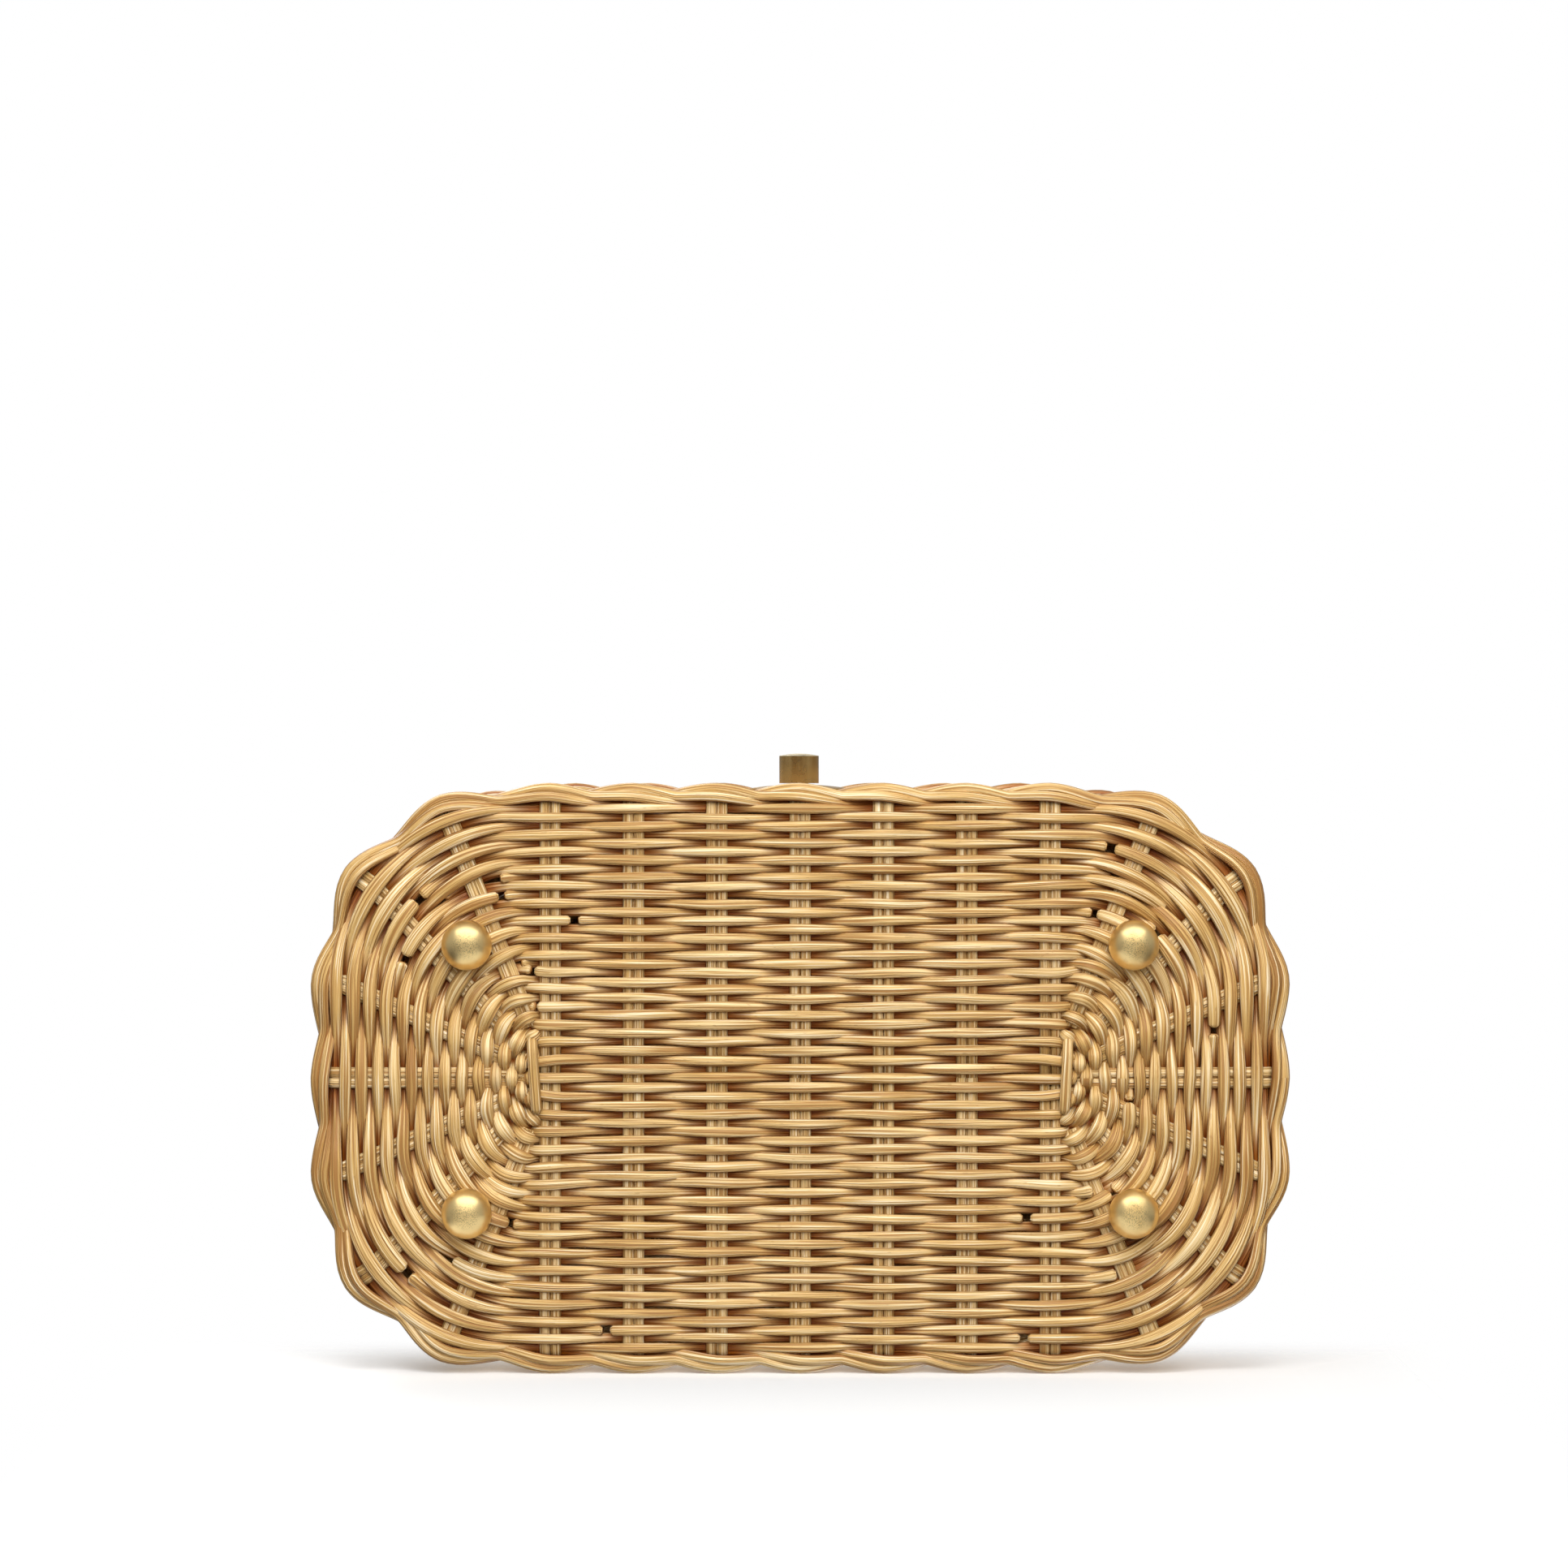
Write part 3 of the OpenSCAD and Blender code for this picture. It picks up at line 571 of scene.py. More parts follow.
def twine_edge(seed, crest, up, per_stake):
    """Two rounds of a strand twined three times along the edge, over two stakes and under the third."""
    work = Strands(seed)
    rng = work.rng
    for middle, rise, tilt, first in EDGE_ROUNDS:
        lean = math.radians(tilt)
        down, level = math.sin(lean), math.cos(lean)
        s = np.concatenate([places(per_stake) + STAKES * k for k in range(3)])
        p = s + first
        over = wale_wave(p) * EDGE_LIFT
        shift = -np.sin(2 * math.pi * (0.5 - p) / 3) * 2 / math.sqrt(3) * EDGE_SWING
        inset = middle - level * over + down * shift - EDGE_OUT + 0.85 * bow(0.003, s)
        z = crest - up * rise + up * (down * over + level * shift)
        xy = outline(inset, s)
        normal = outward(s) * level + np.array([0, 0, up * down])
        width = EDGE_WIDTH * (1 + wander(rng, s / 3, 0.02))
        work.add(np.column_stack([xy, z]), normal, width, EDGE_THICK, True, 10,
                 None, golden(xy), 0.0, over + 0.0006, 0.0040)
    return work


def lay_border(seed, middle, turns, way):
    """Three strands laid up as a rope along the rim."""
    work = Strands(seed)
    s = np.arange(0, STAKES, 1 / 14)
    out = outward(s)
    up = np.array([0, 0, 1.0])
    for k in range(3):
        turn = way * 2 * math.pi * turns * s / STAKES + 2 * math.pi * k / 3
        inset = ROPE_INSET - ROPE_LAY * np.cos(turn)
        xy = outline(inset, s)
        z = middle + ROPE_LAY * np.sin(turn)
        normal = out * np.cos(turn)[:, None] + up * np.sin(turn)[:, None]
        work.add(np.column_stack([xy, z]), normal, ROPE_WIDTH, ROPE_THICK, True, 10, None, golden(xy))
    return work


def bind_handle(sizes, seed):
    """Bent cane of the handle, wound with peel from one ferrule to the other."""
    work = Strands(seed)
    low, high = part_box("handle_bow")
    thick = high.y
    bend = 0.022
    leg = high.x - thick
    grip = high.z - thick
    foot = low.z
    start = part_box("handle_ferrule_left")[1].z
    arc = bend * math.pi / 2
    rise = grip - bend - foot
    total = 2 * (rise + arc + leg - bend)

    def along_bow(d):
        """Point and direction at distance d along the handle from its left foot."""
        d = np.asarray(d, float)
        half = np.minimum(d, total - d)
        turn = np.clip((half - rise) / bend, 0, math.pi / 2)
        x = -leg + bend * (1 - np.cos(turn)) + np.clip(half - rise - arc, 0, None)
        z = foot + np.minimum(half, rise) + bend * np.sin(turn)
        left = d <= total / 2
        way_x, way_z = np.sin(turn), np.cos(turn)
        point = np.column_stack([np.where(left, x, -x), 0 * x, z])
        way = np.column_stack([way_x, 0 * x, np.where(left, way_z, -way_z)])
        return point, way

    d = np.linspace(0, total, 90)
    point, way = along_bow(d)
    cane = 2 * thick - 0.0003
    work.add(point, (0, 1, 0), cane, cane, False, 20, 0.5, 0.4)
    first = start - foot - 0.0006
    turns = (total - 2 * first) / (0.94 * sizes.binding)
    d = np.linspace(first, total - first, int(turns * 22))
    point, way = along_bow(d)
    angle = 2 * math.pi * turns * (d - first) / (total - 2 * first)
    side = np.tile([0.0, 1.0, 0.0], (len(d), 1))
    rest = np.cross(way, side)
    normal = side * np.cos(angle)[:, None] + rest * np.sin(angle)[:, None]
    work.add(point + normal * (thick + 0.0001), normal, sizes.binding, 0.0011, False, 8, 0.55, 0.45)
    return work


# Finishes
def new_group(name, inputs, outputs):
    """Empty shader group with its sockets."""
    group = bpy.data.node_groups.new(name, "ShaderNodeTree")
    for label, kind, value in inputs:
        socket = group.interface.new_socket(label, in_out="INPUT", socket_type=kind)
        if value is not None:
            socket.default_value = value
    for label, kind in outputs:
        group.interface.new_socket(label, in_out="OUTPUT", socket_type=kind)
    return group, group.nodes.new("NodeGroupInput"), group.nodes.new("NodeGroupOutput")


def sums(tree, kind, a, b, clamp=False):
    """Math node on two values or sockets."""
    node = tree.nodes.new("ShaderNodeMath")
    node.operation = kind
    node.use_clamp = clamp
    for i, value in enumerate((a, b)):
        if isinstance(value, (int, float)):
            node.inputs[i].default_value = value
        else:
            tree.links.new(value, node.inputs[i])
    return node.outputs[0]


def ramp(tree, value, a, b, lo=0.0, hi=1.0):
    """Smooth range map of a value."""
    node = tree.nodes.new("ShaderNodeMapRange")
    node.interpolation_type = "SMOOTHSTEP"
    tree.links.new(value, node.inputs["Value"])
    for i, x in zip((1, 2, 3, 4), (a, b, lo, hi)):
        node.inputs[i].default_value = x
    return node.outputs[0]


def mix(tree, factor, a, b, blend="MIX"):
    """Colour mix of two colours or sockets."""
    node = tree.nodes.new("ShaderNodeMix")
    node.data_type = "RGBA"
    node.blend_type = blend
    for i, value in ((0, factor), (6, a), (7, b)):
        if hasattr(value, "is_output"):
            tree.links.new(value, node.inputs[i])
        elif i == 0:
            node.inputs[i].default_value = value
        else:
            node.inputs[i].default_value = (*value, 1.0)
    return node.outputs[2]


def noise(tree, vector, scale, detail, rough=0.5):
    """Noise read at a vector socket."""
    node = tree.nodes.new("ShaderNodeTexNoise")
    node.inputs["Scale"].default_value = scale
    node.inputs["Detail"].default_value = detail
    node.inputs["Roughness"].default_value = rough
    tree.links.new(vector, node.inputs["Vector"])
    return node.outputs[0]


def split_xyz(tree, vector):
    """Sockets of the three numbers of a vector socket."""
    node = tree.nodes.new("ShaderNodeSeparateXYZ")
    tree.links.new(vector, node.inputs[0])
    return node.outputs


def new_material(name):
    """New material with its node tree and its surface shader."""
    mat = bpy.data.materials.new(name)
    mat.use_nodes = True
    return mat, mat.node_tree, mat.node_tree.nodes["Principled BSDF"]


def object_place(tree):
    """Socket of the place on the object."""
    return tree.nodes.new("ShaderNodeTexCoord").outputs["Object"]


def relief(tree, bsdf, height, strength, distance):
    """Bumps the surface by a height socket."""
    bump = tree.nodes.new("ShaderNodeBump")
    bump.inputs["Strength"].default_value = strength
    bump.inputs["Distance"].default_value = distance
    tree.links.new(height, bump.inputs["Height"])
    tree.links.new(bump.outputs[0], bsdf.inputs["Normal"])


def blend_shaders(tree, factor, first, second, out):
    """Sends the blend of two shaders to the output node."""
    blend = tree.nodes.new("ShaderNodeMixShader")
    tree.links.new(factor, blend.inputs[0])
    tree.links.new(first.outputs[0], blend.inputs[1])
    tree.links.new(second.outputs[0], blend.inputs[2])
    tree.links.new(blend.outputs[0], out.inputs[0])


def one_sided(tree, bsdf, hide):
    """Lets a surface vanish from behind and where hide is 1."""
    side = tree.nodes.new("ShaderNodeNewGeometry")
    clear = tree.nodes.new("ShaderNodeBsdfTransparent")
    hide = sums(tree, "MAXIMUM", side.outputs["Backfacing"], hide)
    blend_shaders(tree, hide, bsdf, clear, tree.nodes["Material Output"])


def fibre_group():
    """Colour and relief of a peeled rattan strand, read along and round the strand."""
    numbers = (("Along", 0.0), ("Round", 0.0), ("Tone", 0.5), ("Kind", 0.5), ("Gold", 0.0), ("Depth", 0.0))
    group, into, out = new_group(
        "Rattan fibre",
        [(label, "NodeSocketFloat", value) for label, value in numbers]
        + [(label, "NodeSocketColor", None) for label in ("Straw", "Honey", "Amber")],
        [("Color", "NodeSocketColor"), ("Height", "NodeSocketFloat"), ("Worn", "NodeSocketFloat")])
    link = group.links.new

    def streak(along, around, seed, detail, rough):
        """Noise drawn out along the strand."""
        place = group.nodes.new("ShaderNodeCombineXYZ")
        for i, (label, times) in enumerate((("Along", along), ("Round", around), ("Kind", seed))):
            link(sums(group, "MULTIPLY", into.outputs[label], times), place.inputs[i])
        return noise(group, place.outputs[0], 1.0, detail, rough)

    lines = ramp(group, streak(22, 15, 91, 1.5, 0.6), 0.32, 0.68)
    fine = ramp(group, streak(60, 34, 57, 1.0, 0.5), 0.34, 0.66)
    patch = ramp(group, streak(34, 1.3, 33, 2.0, 0.55), 0.28, 0.72)
    speck = streak(420, 13, 71, 1.0, 0.5)
    level = sums(group, "ADD", sums(group, "MULTIPLY", lines, 0.46), sums(group, "MULTIPLY", fine, 0.30))
    level = sums(group, "ADD", level, sums(group, "MULTIPLY", patch, 0.28))
    level = sums(group, "ADD", level, sums(group, "MULTIPLY", into.outputs["Tone"], 0.30))
    level = sums(group, "SUBTRACT", level, sums(group, "MULTIPLY", into.outputs["Gold"], 0.16))
    colour = mix(group, ramp(group, level, 0.50, 0.95), into.outputs["Honey"], into.outputs["Straw"])
    colour = mix(group, ramp(group, level, 0.52, 0.18), colour, into.outputs["Amber"])
    # Grooves, fine splits and flecks
    for mark in (ramp(group, lines, 0.30, 0.04, 0.0, 0.75),
                 ramp(group, fine, 0.22, 0.02, 0.0, 0.5),
                 ramp(group, speck, 0.68, 0.74, 0.0, 0.4)):
        colour = mix(group, mark, colour, into.outputs["Amber"])
    # Pale fibres, partly painted glints, and painted shade in the depth of the weave
    # Painted glints: the palest fibres are mixed towards near white, partly as pale fibres
    pale_fibre_and_glint = sums(group, "MULTIPLY", ramp(group, fine, 0.70, 0.96), ramp(group, lines, 0.40, 0.8, 0.0, 0.8))
    colour = mix(group, pale_fibre_and_glint, colour, (0.93, 0.79, 0.55))
    # Painted shade: deep points of the weave are darkened towards brown
    stain_and_painted_shade = ramp(group, into.outputs["Depth"], 0.32, 0.66, 0.0, 1.0)
    colour = mix(group, stain_and_painted_shade, colour, mix(group, 1.0, colour, (0.45, 0.175, 0.025), "MULTIPLY"))
    link(colour, out.inputs["Color"])
    height = sums(group, "ADD", sums(group, "MULTIPLY", ramp(group, lines, 0.0, 0.5), 0.8),
                  sums(group, "MULTIPLY", fine, 0.3))
    link(height, out.inputs["Height"])
    link(patch, out.inputs["Worn"])
    return group


def rattan_material(name, group, colours, rough):
    """Varnished rattan for swept strands."""
    mat, tree, bsdf = new_material(name)
    uv = tree.nodes.new("ShaderNodeUVMap")
    uv.uv_map = "strand"
    along, around, _ = split_xyz(tree, uv.outputs[0])
    tint = tree.nodes.new("ShaderNodeAttribute")
    tint.attribute_name = "tint"
    parts = tree.nodes.new("ShaderNodeSeparateColor")
    tree.links.new(tint.outputs["Color"], parts.inputs[0])
    fibre = tree.nodes.new("ShaderNodeGroup")
    fibre.node_tree = group
    tree.links.new(along, fibre.inputs["Along"])
    tree.links.new(around, fibre.inputs["Round"])
    for i, label in enumerate(("Tone", "Kind", "Gold")):
        tree.links.new(parts.outputs[i], fibre.inputs[label])
    tree.links.new(tint.outputs["Alpha"], fibre.inputs["Depth"])
    for label, value in (("Straw", colours.straw), ("Honey", colours.honey), ("Amber", colours.amber)):
        fibre.inputs[label].default_value = (*value, 1.0)
    relief(tree, bsdf, fibre.outputs["Height"], 0.8, 0.00025)
    tree.links.new(fibre.outputs["Color"], bsdf.inputs["Base Color"])
    worn = ramp(tree, fibre.outputs["Worn"], 0.3, 0.7, rough - 0.06, rough + 0.08)
    tree.links.new(worn, bsdf.inputs["Roughness"])
    bsdf.inputs["Specular IOR Level"].default_value = 0.5
    bsdf.inputs["Coat Weight"].default_value = 0.12
    bsdf.inputs["Coat Roughness"].default_value = 0.28
    return mat


def tarnish_group():
    """Masks of browning and of fine brushing over a brass fitting."""
    group, into, out = new_group(
        "Brass wear",
        [("Place", "NodeSocketVector", None)],
        [("Tarnish", "NodeSocketFloat"), ("Brush", "NodeSocketFloat"), ("Spots", "NodeSocketFloat"),
         ("Grit", "NodeSocketFloat")])
    place = into.outputs["Place"]
    for label, scale, detail, low, high in (("Tarnish", 140.0, 4.0, 0.45, 0.75),
                                            ("Spots", 420.0, 3.0, 0.62, 0.72),
                                            ("Grit", 3400.0, 3.0, 0.46, 0.66)):
        mask = ramp(group, noise(group, place, scale, detail), low, high)
        group.links.new(mask, out.inputs[label])
    group.links.new(noise(group, place, 1400.0, 2.0), out.inputs["Brush"])
    return group


def brass_material(name, group, colours, age, rough):
    """Satin brass, browned by age between 0 and 1."""
    mat, tree, bsdf = new_material(name)
    place = object_place(tree)
    _, y, z = split_xyz(tree, place)
    wear = tree.nodes.new("ShaderNodeGroup")
    wear.node_tree = group
    tree.links.new(place, wear.inputs["Place"])
    stain_and_painted_shade = sums(tree, "MULTIPLY", wear.outputs["Tarnish"], 0.22 + 0.2 * age)
    stain_and_painted_shade = sums(tree, "ADD", stain_and_painted_shade, sums(tree, "MULTIPLY", wear.outputs["Spots"], 0.12), clamp=True)
    base = [b + (a - b) * 0.6 * age for b, a in zip(colours.brass, colours.aged)]
    colour = mix(tree, stain_and_painted_shade, base, tuple(colours.aged))
    # Scuffs where a ball foot stands
    low = ramp(tree, z, 0.0015, 0.0)
    scuff = sums(tree, "MULTIPLY", low, wear.outputs["Grit"])
    colour = mix(tree, sums(tree, "MULTIPLY", scuff, 0.55), colour, (0.22, 0.155, 0.08))
    if age:
        # Brown streaks along the knob, less of them close to the rosette
        drawn = tree.nodes.new("ShaderNodeVectorMath")
        drawn.operation = "MULTIPLY"
        drawn.inputs[1].default_value = (330.0, 24.0, 330.0)
        tree.links.new(place, drawn.inputs[0])
        streak = ramp(tree, noise(tree, drawn.outputs[0], 1.0, 3.0), 0.40, 0.62, 0.0, 0.6)
        colour = mix(tree, streak, colour, (0.34, 0.185, 0.055))
        clean = ramp(tree, y, KNOB_END + 0.0019, KNOB_END + 0.0062, 0.0, 0.6)
        colour = mix(tree, clean, colour, (0.74, 0.47, 0.17))
        # Painted highlight on the end of the knob, which fingers also keep bright
        flank = ramp(tree, y, KNOB_END + 0.0006, KNOB_END + 0.0008)
        colour = mix(tree, sums(tree, "SUBTRACT", 1.0, flank), colour, (0.95, 0.83, 0.56))
    tree.links.new(colour, bsdf.inputs["Base Color"])
    bsdf.inputs["Metallic"].default_value = 1.0
    polish = ramp(tree, wear.outputs["Tarnish"], 0.0, 1.0, rough, rough + 0.18)
    polish = sums(tree, "ADD", polish, sums(tree, "MULTIPLY", low, 0.22))
    tree.links.new(polish, bsdf.inputs["Roughness"])
    relief(tree, bsdf, wear.outputs["Brush"], 0.12, 0.00006)
    return mat


def finish_of(name):
    """Finish by name, made on first use."""
    if name in bpy.data.materials:
        return bpy.data.materials[name]
    colours = bpy.context.scene.case_colours
    groups = bpy.data.node_groups
    if name in ("woven rattan", "bent cane"):
        fibre = groups.get("Rattan fibre") or fibre_group()
        return rattan_material(name, fibre, colours, 0.40 if name == "woven rattan" else 0.34)
    wear = groups.get("Brass wear") or tarnish_group()
    if name == "aged brass":
        return brass_material(name, wear, colours, 0.95, 0.27)
    return brass_material(name, wear, colours, 0.0, 0.33)


def floor_material(name, lying):
    """White floor seen from its upper side only, which melts into the background round its rim."""
    mat, tree, bsdf = new_material(name)
    bsdf.inputs["Base Color"].default_value = (0.92, 0.92, 0.92, 1.0)
    bsdf.inputs["Roughness"].default_value = 0.7
    bsdf.inputs["Specular IOR Level"].default_value = 0.15
    bsdf.inputs["Emission Color"].default_value = (1.0, 1.0, 1.0, 1.0)
    path = tree.nodes.new("ShaderNodeLightPath")
    glow = sums(tree, "MULTIPLY", path.outputs["Is Camera Ray"], 0.12 if lying else 0.3)
    tree.links.new(glow, bsdf.inputs["Emission Strength"])
    place = object_place(tree)
    if lying:
        x, _, z = split_xyz(tree, place)
        far_x = ramp(tree, sums(tree, "ABSOLUTE", x, 0.0), 0.115, 0.17)
        far_z = sums(tree, "MAXIMUM", ramp(tree, z, -0.05, -0.40), ramp(tree, z, 0.01, 0.085))
        far = sums(tree, "MAXIMUM", far_x, far_z)
    else:
        away = tree.nodes.new("ShaderNodeVectorMath")
        away.operation = "LENGTH"
        tree.links.new(place, away.inputs[0])
        far = ramp(tree, away.outputs["Value"], 0.22, 0.46)
    one_sided(tree, bsdf, far)
    return mat


def card_material(name, level):
    """Even glow on the front of a card. A dark card is rounded and lets light through from behind."""
    mat, tree, bsdf = new_material(name)
    bsdf.inputs["Base Color"].default_value = (0.0, 0.0, 0.0, 1.0)
    bsdf.inputs["Specular IOR Level"].default_value = 0.0
    bsdf.inputs["Emission Color"].default_value = (1.0, 0.98, 0.95, 1.0)
    bsdf.inputs["Emission Strength"].default_value = level
    if not level:
        x, y, _ = split_xyz(tree, object_place(tree))
        wide = sums(tree, "POWER", sums(tree, "ABSOLUTE", x, 0.0), 3.0)
        deep = sums(tree, "MULTIPLY", sums(tree, "ABSOLUTE", y, 0.0), 1.7)
        far = sums(tree, "ADD", wide, sums(tree, "POWER", deep, 3.0))
        one_sided(tree, bsdf, ramp(tree, far, 0.106 ** 3, 0.128 ** 3))
    return mat


def stage_plane(name, size, turn, place, material):
    """Flat piece of the stage, tipped by turn about X."""
    bpy.ops.object.select_all(action="DESELECT")
    bpy.ops.mesh.primitive_plane_add(size=1.0)
    obj = bpy.context.object
    obj.name = name
    obj.scale = (*size, 1.0)
    obj.rotation_euler = (turn, 0, 0)
    obj.location = place
    bpy.ops.object.transform_apply(location=True, rotation=True, scale=True)
    obj.data.materials.append(material)
    return obj


def settle(obj, body, slot, *nodes):
    """Hangs a finished piece on its body and hides the solids it stands for. slot is not used."""
    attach(obj, body)
    if nodes:
        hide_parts(*nodes)
    return obj


# One operator for each piece or group of like pieces
class VANITY_OT_base(bpy.types.Operator):
    """Woven base of the body with its core rods"""

    bl_idname = "vanity.base"
    bl_label = "Woven base"

    def execute(self, context):
        work = weave_panel(context.scene.case_sizes, 11, CREST_Z, -1, 10, 10)
        settle(work.make("base_strands", finish_of("woven rattan")),
               "case", "rattan", "base_weave", "base_core_rods")
        return {"FINISHED"}


class VANITY_OT_stakes(bpy.types.Operator):
    """Double stakes of the body and of the lid"""

    bl_idname = "vanity.stakes"
    bl_label = "Stakes"

    def execute(self, context):
        sizes = context.scene.case_sizes
        body = lay_stakes(sizes, 21, CREST_Z, -1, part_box("body_border")[0].z + 0.002)
        settle(body.make("body_stakes", finish_of("woven rattan")), "case", "rattan")
        lid = lay_stakes(sizes, 22, TOP_Z, 1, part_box("lid_border")[1].z - 0.002)
        settle(lid.make("lid_stakes", finish_of("woven rattan")), "lid", "rattan")
        return {"FINISHED"}


class VANITY_OT_walls(bpy.types.Operator):
    """Woven side walls of the body and of the lid"""

    bl_idname = "vanity.walls"
    bl_label = "Side walls"

    def execute(self, context):
        sizes = context.scene.case_sizes
        for name, seed, node, body in (("side_strands", 31, "side_weave", "case"),
                                       ("lid_side_strands", 32, "lid_side_weave", "lid")):
            low, high = (corner.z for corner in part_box(node))
            low, high = (low + EDGE_ROOM, high) if body == "case" else (low, high - EDGE_ROOM)
            work = weave_wall(sizes, seed, low, high, 8, 0)
            settle(work.make(name, finish_of("woven rattan")), body, "rattan", node)
        return {"FINISHED"}


class VANITY_OT_lid_top(bpy.types.Operator):
    """Woven top of the lid with its core rods"""

    bl_idname = "vanity.lid_top"
    bl_label = "Woven lid top"

    def execute(self, context):
        work = weave_panel(context.scene.case_sizes, 12, TOP_Z, 1, 8, 8)
        settle(work.make("lid_top_strands", finish_of("woven rattan")),
               "lid", "rattan", "lid_top_weave", "lid_core_rods")
        return {"FINISHED"}


class VANITY_OT_edges(bpy.types.Operator):
    """Twined edges of the base and of the lid top"""

    bl_idname = "vanity.edges"
    bl_label = "Twined edges"

    def execute(self, context):
        base = twine_edge(41, CREST_Z, -1, 12)
        settle(base.make("base_edge", finish_of("woven rattan")), "case", "rattan", "base_wale")
        top = twine_edge(42, TOP_Z, 1, 10)
        settle(top.make("lid_edge", finish_of("woven rattan")), "lid", "rattan", "lid_wale")
        return {"FINISHED"}


class VANITY_OT_borders(bpy.types.Operator):
    """Laid-up borders on both sides of the seam"""

    bl_idname = "vanity.borders"
    bl_label = "Borders"

    def execute(self, context):
        for name, seed, node, body, way in (("body_rim", 51, "body_border", "case", 1),
                                            ("lid_rim", 52, "lid_border", "lid", -1)):
            low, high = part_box(node)
            work = lay_border(seed, 0.5 * (low.z + high.z), 40, way)
            settle(work.make(name, finish_of("woven rattan")), body, "rattan", node)
        return {"FINISHED"}


class VANITY_OT_handle(bpy.types.Operator):
    """Bent-cane handle with its wound binding"""

    bl_idname = "vanity.handle"
    bl_label = "Handle"

    def execute(self, context):
        work = bind_handle(context.scene.case_sizes, 61)
        settle(work.make("bound_handle", finish_of("bent cane")), "lid", "cane", "handle_bow")
        return {"FINISHED"}


class VANITY_OT_fittings(bpy.types.Operator):
    """Finishes of the brass fittings"""

    bl_idname = "vanity.fittings"
    bl_label = "Fittings"

    def execute(self, context):
        aged = ("twist_knob", "lock_rosette")
        woven = ("weave", "core_rods", "border", "wale", "handle_bow")
        for name, obj in NODES.items():
            if any(word in name for word in woven):
                continue
            obj.data.materials.clear()
            obj.data.materials.append(finish_of("aged brass" if name in aged else "satin brass"))
        return {"FINISHED"}


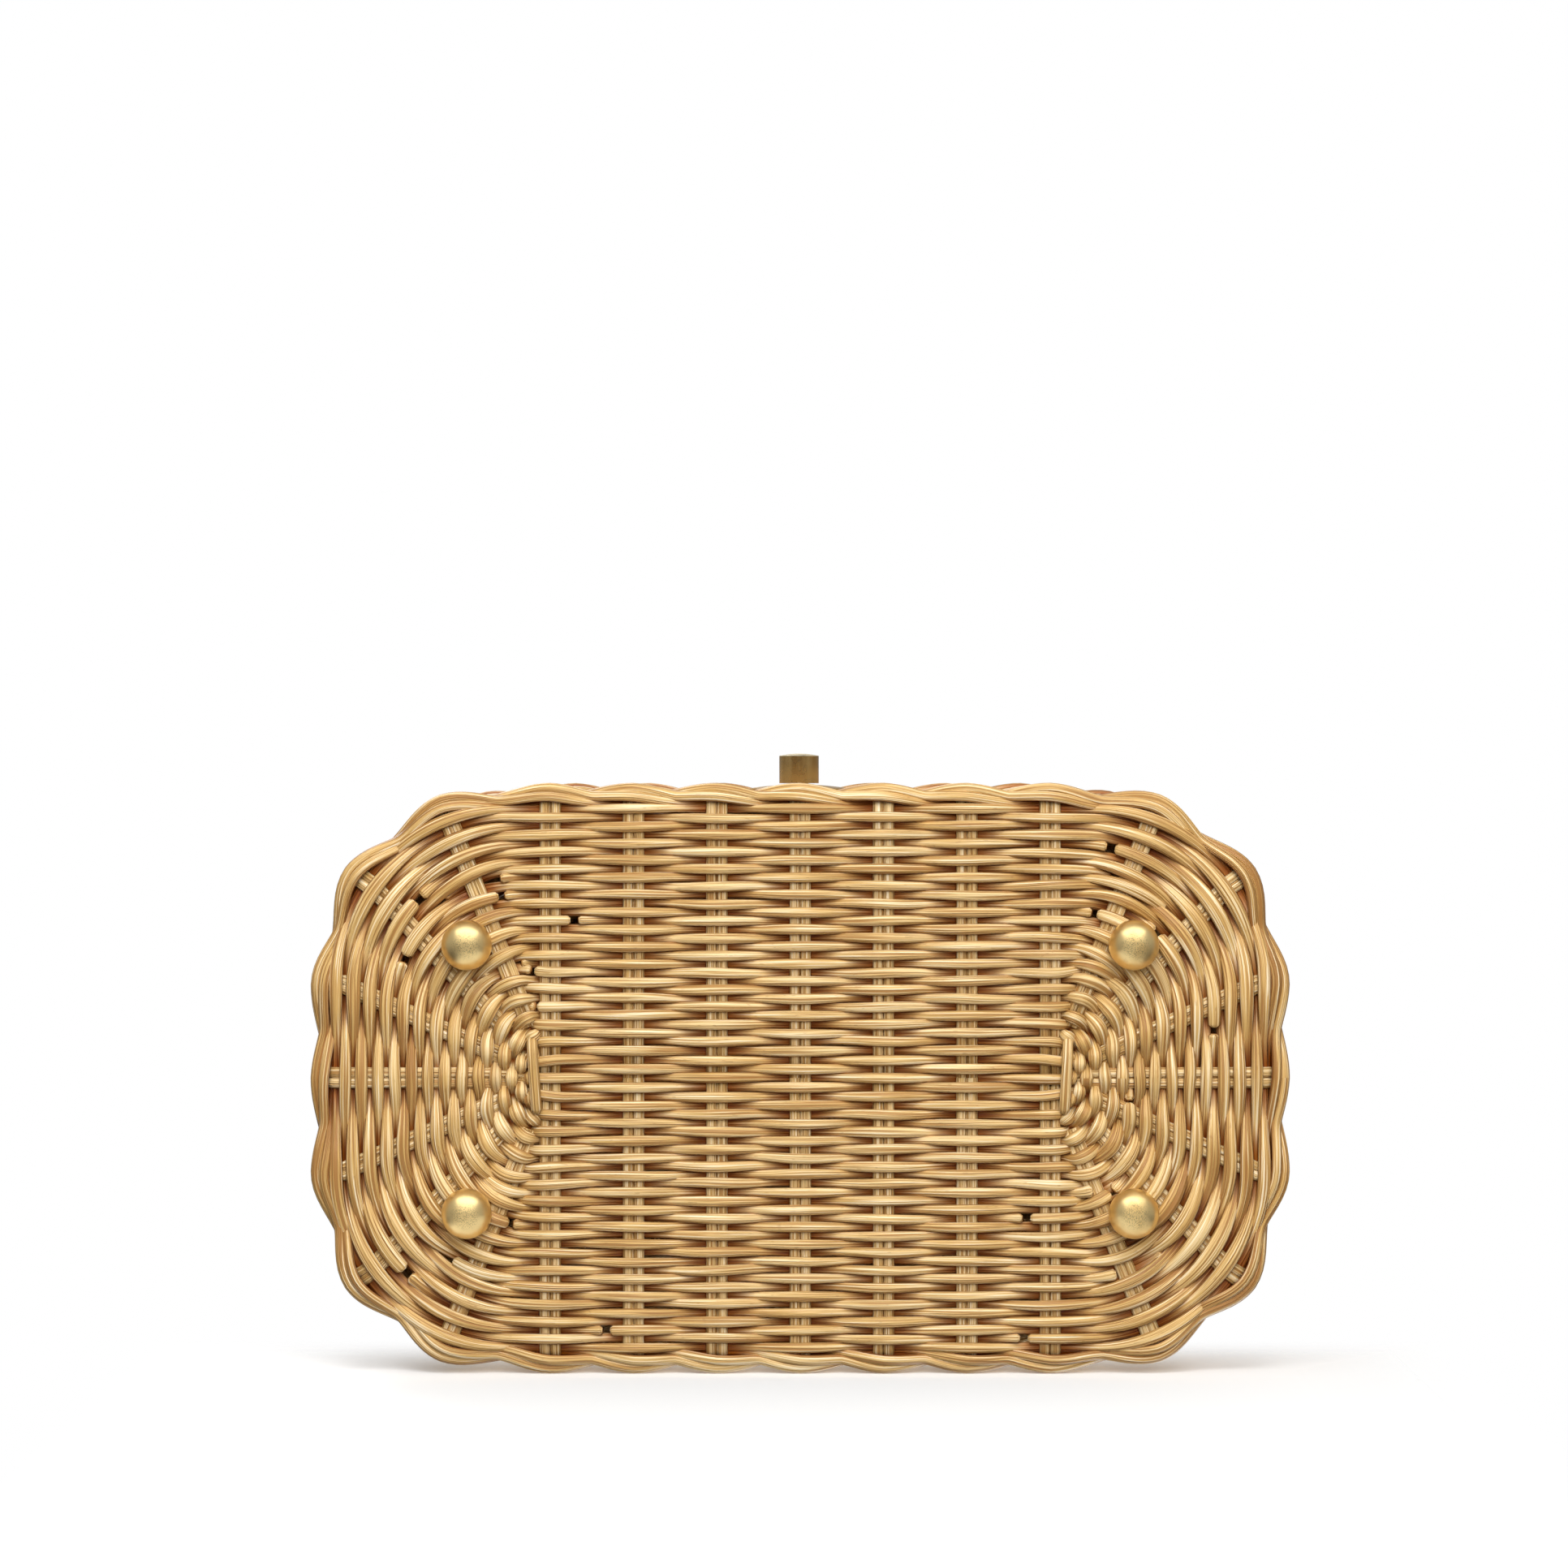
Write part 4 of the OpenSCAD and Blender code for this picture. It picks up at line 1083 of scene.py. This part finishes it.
class VANITY_OT_stage(bpy.types.Operator):
    """Floor, light and camera"""

    bl_idname = "vanity.stage"
    bl_label = "Stage"

    def execute(self, context):
        self.light_world(context.scene)
        self.hang_lamps(context.scene)
        self.floors()
        self.cards()
        self.set_camera(context.scene)
        context.scene.view_settings.view_transform = "Standard"
        return {"FINISHED"}

    def light_world(self, scene):
        """White background, and a soft light that is stronger from the front of the case."""
        world = bpy.data.worlds.new("Studio")
        scene.world = world
        world.use_nodes = True
        tree = world.node_tree
        tree.nodes.clear()
        path = tree.nodes.new("ShaderNodeLightPath")
        seen = sums(tree, "MAXIMUM", path.outputs["Is Camera Ray"], path.outputs["Is Transmission Ray"])
        soft = tree.nodes.new("ShaderNodeBackground")
        soft.inputs["Color"].default_value = (1.0, 0.985, 0.96, 1.0)
        sky = tree.nodes.new("ShaderNodeTexCoord")
        _, y, _ = split_xyz(tree, sky.outputs["Generated"])
        tree.links.new(ramp(tree, y, -0.3, 0.7, 0.42, 0.08), soft.inputs["Strength"])
        plain = tree.nodes.new("ShaderNodeBackground")
        plain.inputs["Color"].default_value = (1.0, 1.0, 1.0, 1.0)
        plain.inputs["Strength"].default_value = 1.0
        blend_shaders(tree, seen, soft, plain, tree.nodes.new("ShaderNodeOutputWorld"))

    def hang_lamps(self, scene):
        """Round soft lamps. Those of the main view aren't mirrored in the brass."""
        for name, place, aim, size, power in (
                ("over_front", (-0.05, -1.0, -0.72), (0, 0, 0.02), 0.55, 7.4),
                ("under_fill", (0.1, -0.5, -1.3), (0, 0, 0.02), 0.9, 14.0),
                ("top_front", (-0.5, -0.9, 1.2), (0, 0, 0.12), 0.9, 8.0),
                ("back_fill", (0.6, 1.1, 0.8), (0, 0, 0.1), 0.9, 15.0)):
            lamp = bpy.data.lights.new(name, "AREA")
            lamp.shape = "DISK"
            lamp.size = size
            lamp.energy = power
            obj = bpy.data.objects.new(name, lamp)
            obj.location = place
            way = Vector(aim) - Vector(place)
            obj.rotation_euler = way.to_track_quat("-Z", "Y").to_euler()
            obj.visible_glossy = name not in ("over_front", "under_fill")
            scene.collection.objects.link(obj)

    def set_camera(self, scene):
        """Camera straight below the base, with the front of the case up in the picture."""
        distance = 1.2
        seen_width = 0.3864
        camera = bpy.data.cameras.new("camera")
        camera.sensor_width = 36.0
        camera.lens = camera.sensor_width * distance / seen_width
        camera.clip_start = 0.05
        eye = bpy.data.objects.new("camera", camera)
        eye.location = (-0.004, -0.0726, CREST_Z - distance)
        eye.rotation_euler = (math.pi, 0.0, 0.0)
        scene.collection.objects.link(eye)
        scene.camera = eye

    def floors(self):
        """A floor under the feet, and one behind the back on which the case lies in the main view."""
        for name, size, turn, place in (
                ("floor", (1.2, 1.2), 0, (0, 0, -0.0002)),
                ("lying_floor", (1.6, 0.75), math.pi / 2, (0, HALF_D + 0.0005, SEAM_Z - 0.377))):
            obj = stage_plane(name, size, turn, place, floor_material(name, name == "lying_floor"))
            obj.visible_shadow = False
            obj.visible_diffuse = False
            obj.visible_glossy = name != "floor"

    def cards(self):
        """Cards that the brass mirrors, and a dark one that shades the floor under the case."""
        for name, size, turn, place, level in (
                ("dark_card", (4.0, 0.75), 0, (0, 0.05, -1.6), 0.08),
                ("bright_card", (1.7, 2.0), math.pi / 2, (0, -0.95, -1.0), 2.5),
                ("under_shade", (0.26, 0.16), math.pi, (0, 0, 0.006), 0.0)):
            obj = stage_plane(name, size, turn, place, card_material(name, level))
            shade = name == "under_shade"
            obj.visible_camera = False
            obj.visible_diffuse = shade
            obj.visible_glossy = not shade
            obj.visible_shadow = False
            obj.visible_transmission = False


class VANITY_PT_panel(bpy.types.Panel):
    """Pieces of the case"""

    bl_idname = "VANITY_PT_panel"
    bl_label = "Vanity case"
    bl_space_type = "VIEW_3D"
    bl_region_type = "UI"
    bl_category = "Vanity case"

    def draw(self, context):
        for operator in OPERATORS:
            self.layout.operator(operator.bl_idname)
        for group in (context.scene.case_sizes, context.scene.case_colours):
            for key in group.__annotations__:
                self.layout.prop(group, key)


OPERATORS = (VANITY_OT_base, VANITY_OT_stakes, VANITY_OT_walls, VANITY_OT_lid_top, VANITY_OT_edges,
             VANITY_OT_borders, VANITY_OT_handle, VANITY_OT_fittings, VANITY_OT_stage)
CLASSES = (CaseSizes, CaseColours, *OPERATORS, VANITY_PT_panel)


def register():
    for cls in CLASSES:
        bpy.utils.register_class(cls)
    bpy.types.Scene.case_sizes = PointerProperty(type=CaseSizes)
    bpy.types.Scene.case_colours = PointerProperty(type=CaseColours)


def unregister():
    del bpy.types.Scene.case_colours
    del bpy.types.Scene.case_sizes
    for cls in reversed(CLASSES):
        bpy.utils.unregister_class(cls)


def main():
    register()
    bpy.ops.vanity.base()
    bpy.ops.vanity.stakes()
    bpy.ops.vanity.walls()
    bpy.ops.vanity.lid_top()
    bpy.ops.vanity.edges()
    bpy.ops.vanity.borders()
    bpy.ops.vanity.handle()
    bpy.ops.vanity.fittings()
    bpy.ops.vanity.stage()


if __name__ == "__main__":
    main()
